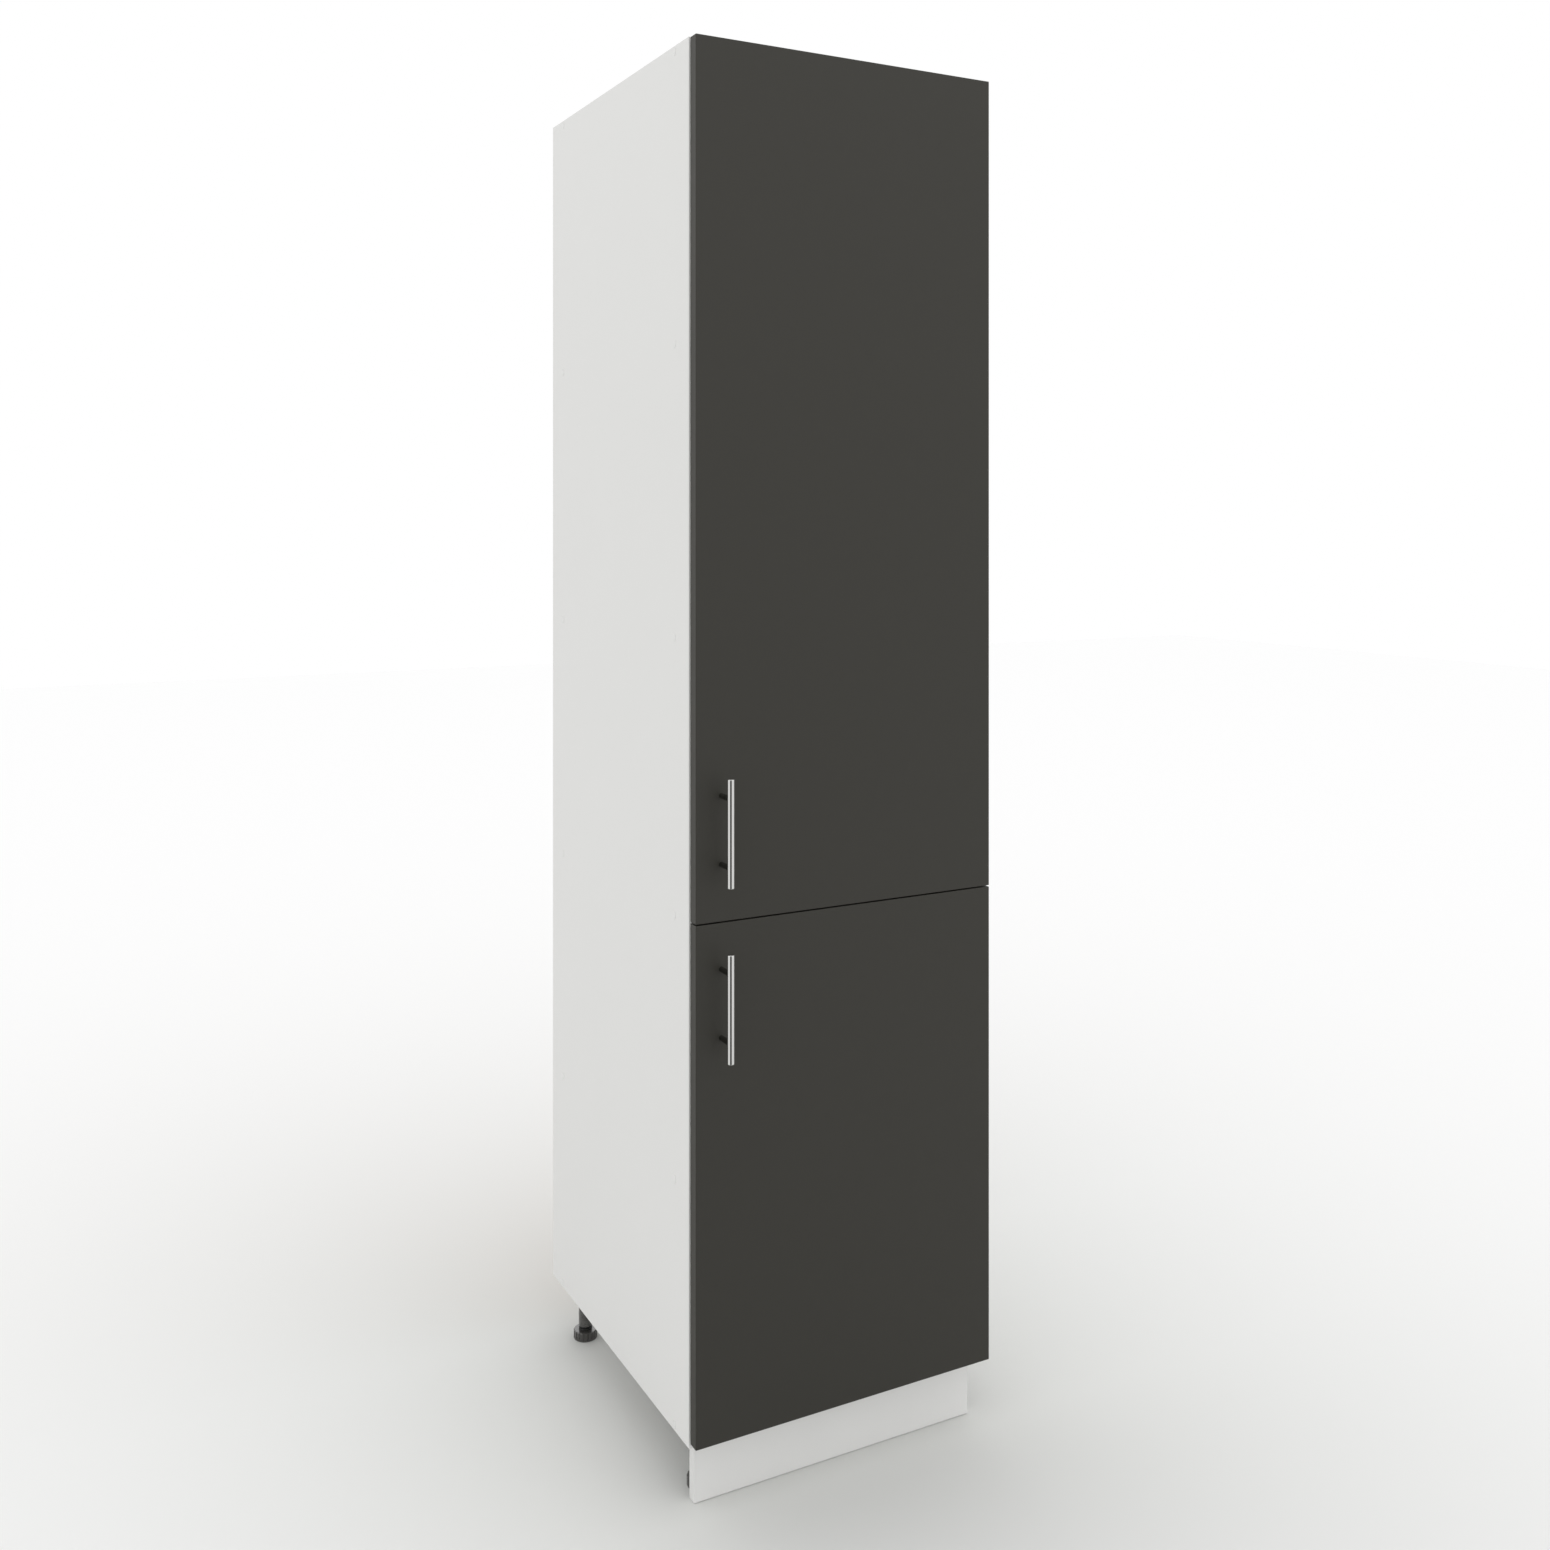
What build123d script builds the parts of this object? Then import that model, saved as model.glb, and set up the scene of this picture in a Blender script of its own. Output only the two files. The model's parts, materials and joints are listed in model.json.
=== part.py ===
from build123d import *
import math
import os

# Tall kitchen pantry cabinet with an upper and a lower door, both hung on the right.
# Millimetres. X runs to the right, Y to the back, Z up. The origin is the centre of the
# cabinet's bounding box at floor level, and the feet stand on Z = 0.

# Overall sizes
cabinet_width = 500
carcass_depth = 560
carcass_height = 1974
leg_height = 92

# Boards
board = 16
door_thickness = 18
back_thickness = 3
board_edge_radius = 0.5
door_edge_radius = 1

# Reveals and gaps round the doors
door_gap = 2
side_reveal = 1.5
top_reveal = 1
bottom_reveal = 7
door_split = 2
split_level = 735.5

# The lower shelf's centre height above the underside of the carcass, and the two upper
# shelves' heights as shares of the way from the middle shelf to the top board
lower_shelf_level = 358
low_upper_shelf_share = 0.3214
high_upper_shelf_share = 0.6615
shelf_setback = 20

# Back sheets
back_inset = 2
back_joint = 1
nail_radius = 0.7
nail_length = 17
nail_point = 2
nail_head_radius = 1.75
nail_head_height = 0.5
nail_pitch = 150

# Carcass screws with their caps, and the dowel between each pair
screw_inset = 50
screw_length = 50
screw_head_radius = 4.9
screw_head_height = 4
screw_neck_radius = 3.4
screw_thread_radius = 2.9
screw_point = 4
screw_socket_width = 4
screw_socket_depth = 3
cap_radius = 6
cap_height = 0.6
cap_edge = 0.5
cap_pin_length = 2
dowel_radius = 4
dowel_length = 30
dowel_in_side = 11
dowel_chamfer = 1
drilled_clearance = 0.05
cut_overrun = 1

# Wood screws
wood_screw_radius = 1.75
wood_screw_head_radius = 3.4
wood_screw_head_height = 1.6
wood_screw_point = 3

# Legs
front_leg_inset_inside = 28
back_leg_inset_inside = 23.5
leg_inset_front = 55
leg_inset_back = 53
socket_thickness = 4
socket_inner_reach = 34
socket_outer_reach = 29
socket_half_depth = 21
socket_corner = 6
collar_wall = 3
collar_height = 18
socket_screw_inner = 27
socket_screw_outer = 20
socket_screw_across = 13
socket_screw_length = 16
tube_radius = 11.5
tube_clearance = 0.1
tube_bore_radius = 9.1
tube_chamfer = 0.5
tube_roof = 4
foot_radius = 20
foot_height = 14.5
foot_edge = 2
foot_notches = 18
foot_notch_radius = 1.7
foot_base_height = 3
foot_gap = 6.5
stud_radius = 8.5
stud_core_radius = 7.5
stud_pitch = 2.5
stud_length = 40
stud_seat_depth = 10
stud_flange_radius = 11.2
stud_flange_height = 3.3

# Plinth
plinth_setback = 37
plinth_thickness = 16
plinth_floor_gap = 1
plinth_top_gap = 3
plinth_end_inset = 16
clip_height = 46
clip_arm = 3.5
clip_thickness = 14
clip_clearance = 0.3
clip_plate_width = 44
clip_plate_height = 28
clip_plate_thickness = 3
clip_plate_corner = 4
clip_overhang = 6
clip_screw_across = 18.5
clip_screw_length = 14

# Handles
handle_length = 151
handle_spacing = 96
handle_projection = 35
bar_radius = 5
bar_chamfer = 0.6
post_radius = 4
tenon_radius = 3
tenon_depth = 2.5
handle_inset = 39.5
upper_handle_rise = 128
lower_handle_drop = 112.5
handle_screw_radius = 2
handle_screw_head_radius = 4.2
handle_screw_head_height = 1.6
handle_screw_head_edge = 1
handle_screw_slot_width = 1
handle_screw_slot_depth = 0.7
handle_screw_in_post = 9
handle_hole_radius = 2.5

# Door bumpers
bumper_radius = 4
bumper_clearance = 0.3
bumper_edge = 1
bumper_inset = 6.5
bumper_end_inset = 45

# Concealed hinges. Inward runs from the inner face of the right side towards the middle of
# the door, and behind runs from the doors' back faces towards the back of the cabinet.
hinge_end_inset = 100
cup_inward = 8
cup_radius = 17.5
cup_wall = 1
cup_depth = 12
flange_thickness = 1.2
flange_length = 64
flange_inward = -1.5
flange_width = 19
flange_corner = 6
cup_screw_inward = 14
cup_screw_across = 48
cup_screw_length = 11
link_pin_inward = 5
link_pin_behind = -2
link_pin_radius = 1.25
link_eye_radius = 2.5
link_end_radius = 2.2
link_half_width = 5
link_thickness = 1.5
link_side_clearance = 0.3
link_slot_reach = 5
link_knee = (17.7, -1.5)
link_shoulder = (20.3, -3.5)
link_tip = (20.6, -9.6)
arm_half_width = 7.5
arm_inner = 5.9
arm_outer = 12.5
arm_shoulder_behind = 8
arm_neck_behind = 12
arm_slope_behind = 19
arm_end_behind = 70
arm_web = 1.5
arm_wall_clearance = 0.1
arm_screw_radius = 2
arm_screw_head_radius = 3.2
arm_screw_head_height = 1
arm_screw_length = 9
arm_screw_slot_width = 0.9
arm_screw_slot_depth = 0.6
arm_screw_behind = (34, 56)
plate_screw_behind = 39
plate_screw_across = 32
plate_thickness = 2.6
plate_half_depth = 12
plate_half_length = 25
plate_corner = 5
rail_start_behind = 26
rail_end_behind = 66
rail_half_width = 6
plate_screw_length = 14

# Wall brackets
bracket_width = 30
bracket_leg = 30
bracket_thickness = 2
bracket_inset = 70
bracket_hole_radius = 3.25
bracket_hole_drop = 18
bracket_corner = 4
bracket_screw_inset = 8
bracket_screw_across = 16
bracket_screw_length = 14

# Heights and faces worked out from the sizes above
total_depth = (handle_projection + door_thickness + door_gap + carcass_depth
               + back_thickness + nail_head_height)
door_front = handle_projection - total_depth / 2
door_back = door_front + door_thickness
carcass_front = door_back + door_gap
carcass_back = carcass_front + carcass_depth
carcass_bottom = leg_height
carcass_top = carcass_bottom + carcass_height
half_width = cabinet_width / 2
inner_half = half_width - board
door_half = half_width - side_reveal
lower_door_bottom = carcass_bottom + bottom_reveal
lower_door_top = carcass_bottom + split_level - door_split / 2
upper_door_bottom = lower_door_top + door_split
upper_door_top = carcass_top - top_reveal
middle_shelf_level = split_level - door_split / 2
top_panel_level = carcass_height - board / 2
upper_space = top_panel_level - middle_shelf_level
low_upper_shelf_level = middle_shelf_level + low_upper_shelf_share * upper_space
high_upper_shelf_level = middle_shelf_level + high_upper_shelf_share * upper_space
horizontal_levels = {
    "bottom_panel": board / 2,
    "lower_shelf": lower_shelf_level,
    "middle_shelf": middle_shelf_level,
    "upper_shelf_low": low_upper_shelf_level,
    "upper_shelf_high": high_upper_shelf_level,
    "top_panel": top_panel_level,
}
set_back_boards = ("lower_shelf", "upper_shelf_low", "upper_shelf_high")
screw_depths = (carcass_front + screw_inset, carcass_back - screw_inset)
dowel_depth = (carcass_front + carcass_back) / 2
sides = {"left": -1, "right": 1}
leg_depths = {"front": carcass_front + leg_inset_front, "back": carcass_back - leg_inset_back}
leg_across = {"front": inner_half - front_leg_inset_inside, "back": inner_half - back_leg_inset_inside}
tube_bottom = foot_height + foot_gap
tube_top = carcass_bottom - socket_thickness
plinth_front = door_front + plinth_setback
plinth_back = plinth_front + plinth_thickness
handle_across = handle_inset - door_half
bar_depth = door_front - handle_projection + bar_radius
upper_handle_level = upper_door_bottom + upper_handle_rise
lower_handle_level = lower_door_top - lower_handle_drop
upper_hinge_levels = (
    upper_door_bottom + hinge_end_inset,
    carcass_bottom + (low_upper_shelf_level + high_upper_shelf_level) / 2,
    upper_door_top - hinge_end_inset,
)
lower_hinge_levels = (
    lower_door_bottom + hinge_end_inset,
    lower_door_top - hinge_end_inset,
)


def block(low, high):
    """Box between two opposite corners."""
    size = [b - a for a, b in zip(low, high)]
    centre = [(a + b) / 2 for a, b in zip(low, high)]
    return Pos(*centre) * Box(*size)


def soft_block(low, high, radius):
    """Box with every edge rounded."""
    body = block(low, high)
    return fillet(body.edges(), radius)


def rod(radius, start, end):
    """Round bar from one point to another."""
    run = Vector(*end) - Vector(*start)
    return extrude(Plane(origin=start, z_dir=run) * Circle(radius), amount=run.length)


def turned(outline):
    """Solid turned about Z from an outline of (radius, height) points."""
    return revolve(Plane.XZ * make_face(Polyline(*outline, close=True)), Axis.Z)


def placed(body, start, direction):
    """A solid made along Z, set at a point and pointed along a direction."""
    return Plane(origin=start, z_dir=direction).location * body


def group(bodies):
    """Several separate solids kept together as one node."""
    return Compound(children=[solid for body in bodies for solid in body.solids()])


def hinge_point(inward, behind, level):
    """A point of a hinge, measured from the right side's inner face and the doors' backs."""
    return (inner_half - inward, door_back + behind, level)


# Fasteners

def wood_screw(length):
    """Countersunk screw: its head's flat face at Z = 0 and its point at Z = length."""
    r = wood_screw_radius
    return turned([
        (0, 0),
        (wood_screw_head_radius, 0),
        (r, wood_screw_head_height),
        (r, length - wood_screw_point),
        (0, length),
    ])


def wood_screw_hole(length):
    """The hole that a wood screw fills, with its countersink."""
    r = wood_screw_radius + drilled_clearance
    head = wood_screw_head_radius + drilled_clearance
    return turned([
        (0, 0),
        (head, 0),
        (r, wood_screw_head_height),
        (r, length + drilled_clearance),
        (0, length + drilled_clearance),
    ])


def carcass_screw():
    """Thick board screw with a conical head and a six-sided socket."""
    body = turned([
        (0, 0),
        (screw_head_radius, 0),
        (screw_neck_radius, screw_head_height),
        (screw_neck_radius, board),
        (screw_thread_radius, board),
        (screw_thread_radius, screw_length - screw_point),
        (0, screw_length),
    ])
    socket = extrude(RegularPolygon(screw_socket_width / 2, 6, major_radius=False),
                     amount=screw_socket_depth)
    return body - socket


def carcass_screw_hole():
    """Stepped hole for a carcass screw, through the side and into the board's end."""
    gap = drilled_clearance
    return turned([
        (0, 0),
        (screw_head_radius + gap, 0),
        (screw_neck_radius + gap, screw_head_height),
        (screw_neck_radius + gap, board),
        (screw_thread_radius + gap, board),
        (screw_thread_radius + gap, screw_length),
        (0, screw_length),
    ])


def screw_cap():
    """Domed cap that covers a carcass screw, with a pin that grips its socket."""
    disc = extrude(Circle(cap_radius), amount=cap_height)
    disc = fillet(disc.edges().group_by(Axis.Z)[-1], cap_edge)
    pin_radius = screw_socket_width / 2 - drilled_clearance
    pin = extrude(Circle(pin_radius), amount=-cap_pin_length)
    return disc + pin


def dowel(radius, length):
    """Wooden dowel along Z with chamfered ends."""
    body = extrude(Circle(radius), amount=length)
    return chamfer(body.edges(), dowel_chamfer)


def joint_points():
    """Each end of each horizontal board: the side's sign and the height."""
    return [(sign, carcass_bottom + level)
            for level in horizontal_levels.values() for sign in sides.values()]


def screw_points():
    """Where each carcass screw enters a side, and the way it points."""
    return [((sign * half_width, depth, level), (-sign, 0, 0))
            for sign, level in joint_points() for depth in screw_depths]


def dowel_points():
    """Where each dowel starts inside a side, and the way it points."""
    start = inner_half + dowel_in_side
    return [((sign * start, dowel_depth, level), (-sign, 0, 0)) for sign, level in joint_points()]


def drilled(body, sign=None):
    """A carcass board with the holes for its carcass screws and dowels."""
    box = body.bounding_box()
    points = [p for p in screw_points() if box.min.Z < p[0][2] < box.max.Z]
    pins = [p for p in dowel_points() if box.min.Z < p[0][2] < box.max.Z]
    if sign:
        points = [p for p in points if p[0][0] * sign > 0]
        pins = [p for p in pins if p[0][0] * sign > 0]
    hole = carcass_screw_hole()
    socket = extrude(Circle(dowel_radius + drilled_clearance), amount=dowel_length)
    cuts = [placed(hole, *p) for p in points] + [placed(socket, *p) for p in pins]
    return body - cuts


# Carcass

def side_panel(sign):
    """One full-height side with its drilling; the right one also carries the hinges."""
    x = sorted((sign * inner_half, sign * half_width))
    body = soft_block((x[0], carcass_front, carcass_bottom),
                      (x[1], carcass_back, carcass_top), board_edge_radius)
    body = drilled(body, sign)
    if sign > 0:
        hole = wood_screw_hole(plate_screw_length)
        body -= [placed(hole, *p) for p in plate_screw_points()]
    return body


def horizontal(name):
    """A board across the carcass, between the sides."""
    level = carcass_bottom + horizontal_levels[name]
    front = carcass_front + (shelf_setback if name in set_back_boards else 0)
    body = block((-inner_half, front, level - board / 2),
                 (inner_half, carcass_back, level + board / 2))
    edges = body.edges().filter_by(Axis.X).group_by(Axis.Y)[0]
    body = drilled(fillet(edges, board_edge_radius))
    if name == "bottom_panel":
        hole = wood_screw_hole(socket_screw_length)
        body -= [placed(hole, *p) for p in socket_screw_points()]
    if name == "top_panel":
        hole = wood_screw_hole(bracket_screw_length)
        body -= [placed(hole, *p) for p in bracket_screw_points()]
    return body


def back_sheet(low, high):
    """A sheet nailed over the back between two heights."""
    body = block((back_inset - half_width, carcass_back, low),
                 (half_width - back_inset, carcass_back + back_thickness, high))
    level = bracket_hole_level()
    if not low < level < high:
        return body
    return body - [rod(bracket_hole_radius, (x, carcass_back - cut_overrun, level),
                       (x, carcass_back + back_thickness + cut_overrun, level))
                   for x in bracket_places()]


def back_split():
    """Height where the two back sheets meet, behind the middle shelf."""
    return carcass_bottom + middle_shelf_level


def nail():
    """Flat-headed nail with the underside of its head at Z = 0."""
    shank = turned([
        (0, 0),
        (nail_radius, 0),
        (nail_radius, nail_length - nail_point),
        (0, nail_length),
    ])
    return shank + extrude(Circle(nail_head_radius), amount=-nail_head_height)


def nail_points():
    """Nail heads: down both sides of each sheet, and along the board edges behind it."""
    x_side = half_width - board / 2
    split = back_split()
    points = []
    for low, high in ((carcass_bottom + board, split - board / 4),
                      (split + board / 4, carcass_top - board)):
        count = math.ceil((high - low) / nail_pitch)
        step = (high - low) / count
        points += [(s * x_side, low + step * i) for i in range(count + 1) for s in (-1, 1)]
    levels = [carcass_bottom + horizontal_levels[n]
              for n in horizontal_levels if n != "middle_shelf"]
    levels += [split - board / 4, split + board / 4]
    points += [(x_side * s / 2, z) for z in levels for s in (-1, 0, 1)]
    return [((x, carcass_back + back_thickness, z), (0, -1, 0)) for x, z in points]


# Wall brackets under the top board

def bracket_places():
    return [s * (inner_half - bracket_inset) for s in (-1, 1)]


def bracket_hole_level():
    return carcass_top - board - bracket_hole_drop


def bracket_screw_points():
    z = carcass_top - board - bracket_thickness
    y = carcass_back - bracket_leg + bracket_screw_inset
    return [((x + s * bracket_screw_across / 2, y, z), (0, 0, 1))
            for x in bracket_places() for s in (-1, 1)]


def wall_bracket(x):
    """Steel angle with two screw holes up into the top board and one hole to the wall."""
    top = carcass_top - board
    x0, x1 = x - bracket_width / 2, x + bracket_width / 2
    y0 = carcass_back - bracket_leg
    shelf = block((x0, y0, top - bracket_thickness), (x1, carcass_back, top))
    leg = block((x0, carcass_back - bracket_thickness, top - bracket_leg),
                (x1, carcass_back, top))
    body = shelf + leg
    body = fillet(body.edges().filter_by(Axis.Y).group_by(Axis.Z)[0], bracket_corner)
    body = fillet(body.edges().filter_by(Axis.Z).group_by(Axis.Y)[0], bracket_corner)
    z = bracket_hole_level()
    wall_hole = rod(bracket_hole_radius, (x, y0, z), (x, carcass_back + cut_overrun, z))
    own = [p for p in bracket_screw_points() if x0 < p[0][0] < x1]
    holes = [placed(wood_screw_hole(bracket_screw_length), *p) for p in own]
    return body - [wall_hole] - holes


# Legs

def leg_places():
    """Name and axis of each leg."""
    return {f"{end}_{side}": (sign * leg_across[end], y)
            for end, y in leg_depths.items() for side, sign in sides.items()}


def socket_screw_points():
    z = carcass_bottom - socket_thickness
    points = []
    for x, y in leg_places().values():
        out = math.copysign(1, x)
        for dx in (-socket_screw_inner, socket_screw_outer):
            points += [((x + out * dx, y + s * socket_screw_across, z), (0, 0, 1)) for s in (-1, 1)]
    return points


def leg_socket(x, y):
    """Moulded socket screwed under the carcass, with the collar that holds the leg tube."""
    out = math.copysign(1, x)
    across = sorted((x - out * socket_inner_reach, x + out * socket_outer_reach))
    plate = block((across[0], y - socket_half_depth, tube_top),
                  (across[1], y + socket_half_depth, carcass_bottom))
    plate = fillet(plate.edges().filter_by(Axis.Z), socket_corner)
    inner = tube_radius + tube_clearance
    mouth = tube_top - collar_height
    collar = rod(inner + collar_wall, (x, y, mouth), (x, y, carcass_bottom))
    bore = rod(inner, (x, y, mouth - cut_overrun), (x, y, tube_top))
    own = [p for p in socket_screw_points()
           if abs(p[0][0] - x) < socket_inner_reach and abs(p[0][1] - y) < socket_half_depth]
    holes = [placed(wood_screw_hole(socket_screw_length), *p) for p in own]
    return (plate + collar) - [bore] - holes


def leg_tube(x, y):
    """Round leg tube pushed up into its socket, bored for the foot's stud."""
    body = rod(tube_radius, (x, y, tube_bottom), (x, y, tube_top))
    body = chamfer(body.edges().group_by(Axis.Z)[0], tube_chamfer)
    bore = rod(tube_bore_radius, (x, y, tube_bottom - cut_overrun), (x, y, tube_top - tube_roof))
    return body - bore


def foot(x, y):
    """Round foot with a notched rim, and the flanged stud that stands in it and runs up the tube."""
    disc = extrude(Circle(foot_radius), amount=foot_height)
    disc = fillet(disc.edges().group_by(Axis.Z)[-1], foot_edge)
    notch = rod(foot_notch_radius, (foot_radius, 0, foot_base_height),
                (foot_radius, 0, foot_height + cut_overrun))
    notches = [Rot(Z=360 / foot_notches * i) * notch for i in range(foot_notches)]
    seat = foot_height - stud_seat_depth
    bore = rod(stud_core_radius + drilled_clearance, (0, 0, seat), (0, 0, foot_height + cut_overrun))
    flange_top = foot_height + stud_flange_height
    outline = [(0, seat), (stud_core_radius, seat), (stud_core_radius, foot_height),
               (stud_flange_radius, foot_height), (stud_flange_radius, flange_top)]
    turns = int((stud_length - stud_flange_height) / stud_pitch)
    for i in range(turns):
        low = flange_top + stud_pitch * i
        outline += [(stud_core_radius, low), (stud_radius, low + stud_pitch / 2)]
    top = flange_top + stud_pitch * turns
    outline += [(stud_core_radius, top), (0, top)]
    return Pos(x, y, 0) * group([disc - notches - [bore], turned(outline)])


# Plinth

def plinth_board():
    """Board along the front, set back under the carcass."""
    x = half_width - plinth_end_inset
    body = soft_block((-x, plinth_front, plinth_floor_gap),
                      (x, plinth_back, carcass_bottom - plinth_top_gap), board_edge_radius)
    hole = wood_screw_hole(clip_screw_length)
    return body - [placed(hole, *p) for p in clip_screw_points()]


def clip_screw_points():
    y = plinth_back + clip_plate_thickness
    return [((sign * leg_across["front"] + s * clip_screw_across, y, clip_height), (0, -1, 0))
            for sign in sides.values() for s in (-1, 1)]


def plinth_clip(sign):
    """Forked clip on the plinth's back that slides over the front leg's tube."""
    x = sign * leg_across["front"]
    y = leg_depths["front"]
    z0, z1 = clip_height - clip_thickness / 2, clip_height + clip_thickness / 2
    grip = tube_radius + clip_clearance
    half = grip + clip_arm
    plate = block((x - clip_plate_width / 2, plinth_back, clip_height - clip_plate_height / 2),
                  (x + clip_plate_width / 2, plinth_back + clip_plate_thickness,
                   clip_height + clip_plate_height / 2))
    plate = fillet(plate.edges().filter_by(Axis.Y), clip_plate_corner)
    fork = block((x - half, plinth_back, z0), (x + half, y + clip_overhang, z1))
    under, over = z0 - cut_overrun, z1 + cut_overrun
    throat = block((x - grip, y, under), (x + grip, y + clip_overhang + cut_overrun, over))
    seat = rod(grip, (x, y, under), (x, y, over))
    own = [p for p in clip_screw_points() if p[0][0] * sign > 0]
    holes = [placed(wood_screw_hole(clip_screw_length), *p) for p in own]
    return (plate + fork) - [throat, seat] - holes


# Doors and handles

def door(bottom, top, hinge_levels, handle_level):
    """Door board with its cup pockets, screw holes and handle holes."""
    body = soft_block((-door_half, door_front, bottom), (door_half, door_back, top), door_edge_radius)
    cuts = []
    for z in hinge_levels:
        cuts.append(rod(cup_radius, hinge_point(cup_inward, -cup_depth, z),
                        hinge_point(cup_inward, cut_overrun, z)))
        cuts += [placed(wood_screw_hole(cup_screw_length), *p) for p in cup_screw_points(z)]
    for z in post_levels(handle_level):
        cuts.append(rod(handle_hole_radius, (handle_across, door_front - cut_overrun, z),
                        (handle_across, door_back + cut_overrun, z)))
    return body - cuts


def post_levels(handle_level):
    return [handle_level + s * handle_spacing / 2 for s in (-1, 1)]


def handle_bar(level):
    """Round upright bar with a blind hole for each post."""
    z0, z1 = level - handle_length / 2, level + handle_length / 2
    body = rod(bar_radius, (handle_across, bar_depth, z0), (handle_across, bar_depth, z1))
    body = chamfer(body.edges(), bar_chamfer)
    hole_end = bar_depth + bar_radius - tenon_depth - drilled_clearance
    holes = [rod(tenon_radius + drilled_clearance, (handle_across, bar_depth + bar_radius, z),
                 (handle_across, hole_end, z)) for z in post_levels(level)]
    return body - holes


def handle_post(z):
    """Round post from the door to the bar, with a tenon in the bar and a tapped foot."""
    x = handle_across
    shaft = rod(post_radius, (x, door_front, z), (x, bar_depth, z))
    around_bar = rod(bar_radius + drilled_clearance, (x, bar_depth, z - 2 * post_radius),
                     (x, bar_depth, z + 2 * post_radius))
    tenon = rod(tenon_radius, (x, bar_depth + bar_radius + cut_overrun, z),
                (x, bar_depth + bar_radius - tenon_depth, z))
    tapped = rod(handle_screw_radius + drilled_clearance, (x, door_front, z),
                 (x, door_front - handle_screw_in_post - cut_overrun, z))
    return (shaft - around_bar) + tenon - tapped


def handle_screw(z):
    """Machine screw through the door into a post, with its head on the door's back."""
    body = turned([
        (0, -handle_screw_head_height),
        (handle_screw_head_radius - handle_screw_head_edge, -handle_screw_head_height),
        (handle_screw_head_radius, -handle_screw_head_height / 2),
        (handle_screw_head_radius, 0),
        (handle_screw_radius, 0),
        (handle_screw_radius, door_thickness + handle_screw_in_post),
        (0, door_thickness + handle_screw_in_post),
    ])
    slot_half = handle_screw_slot_width / 2
    slot = block((-handle_screw_head_radius, -slot_half, -handle_screw_head_height),
                 (handle_screw_head_radius, slot_half,
                  handle_screw_slot_depth - handle_screw_head_height))
    return placed(body - slot, (handle_across, door_back, z), (0, -1, 0))


def bumper(z):
    """Small soft pad on the door's back, over the side's front edge."""
    height = door_gap - bumper_clearance
    pad = extrude(Circle(bumper_radius), amount=height)
    pad = fillet(pad.edges().group_by(Axis.Z)[-1], bumper_edge)
    return placed(pad, (bumper_inset - door_half, door_back, z), (0, 1, 0))


def bumpers(bottom, top):
    return [bumper(bottom + bumper_end_inset), bumper(top - bumper_end_inset)]


# Concealed hinges

def hinge_cup(z):
    """Cup sunk in the door's back, with the flange that its two screws hold."""
    outer = rod(cup_radius - drilled_clearance, hinge_point(cup_inward, -cup_depth, z),
                hinge_point(cup_inward, flange_thickness, z))
    low = hinge_point(flange_inward + flange_width, 0, z - flange_length / 2)
    high = hinge_point(flange_inward, flange_thickness, z + flange_length / 2)
    flange = block(low, high)
    flange = fillet(flange.edges().filter_by(Axis.Y), flange_corner)
    above = flange_thickness + cut_overrun
    trim = block(hinge_point(flange_inward, 0, z - cup_radius),
                 hinge_point(flange_inward - cup_radius, above, z + cup_radius))
    hollow = rod(cup_radius - cup_wall, hinge_point(cup_inward, cup_wall - cup_depth, z),
                 hinge_point(cup_inward, above, z))
    holes = [placed(wood_screw_hole(cup_screw_length), *p) for p in cup_screw_points(z)]
    return (outer + flange) - [trim, hollow] - holes


def cup_screw_points(z):
    return [(hinge_point(cup_screw_inward, flange_thickness, z + s * cup_screw_across / 2), (0, -1, 0))
            for s in (-1, 1)]


def plate_screw_points():
    return [(hinge_point(plate_thickness, plate_screw_behind, z + s * plate_screw_across / 2), (1, 0, 0))
            for z in lower_hinge_levels + upper_hinge_levels for s in (-1, 1)]


def arm_screw_points(z):
    return [(hinge_point(arm_outer, v, z), (1, 0, 0)) for v in arm_screw_behind]


def arm_screw():
    """Adjusting screw with a slotted head sunk flush in the arm, its flat face at Z = 0."""
    body = turned([
        (0, 0),
        (arm_screw_head_radius, 0),
        (arm_screw_head_radius, arm_screw_head_height),
        (arm_screw_radius, arm_screw_head_height),
        (arm_screw_radius, arm_screw_length),
        (0, arm_screw_length),
    ])
    half = arm_screw_slot_width / 2
    slot = block((-arm_screw_head_radius, -half, 0), (arm_screw_head_radius, half, arm_screw_slot_depth))
    return body - slot


def arm_screw_holes(z):
    """Stepped holes for a hinge's adjusting screws, through the arm and into the rail."""
    head = arm_screw_head_radius + drilled_clearance
    shank = arm_screw_radius + drilled_clearance
    hole = turned([
        (0, -cut_overrun),
        (head, -cut_overrun),
        (head, arm_screw_head_height),
        (shank, arm_screw_head_height),
        (shank, arm_screw_length + drilled_clearance),
        (0, arm_screw_length + drilled_clearance),
    ])
    return [placed(hole, *p) for p in arm_screw_points(z)]


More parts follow.
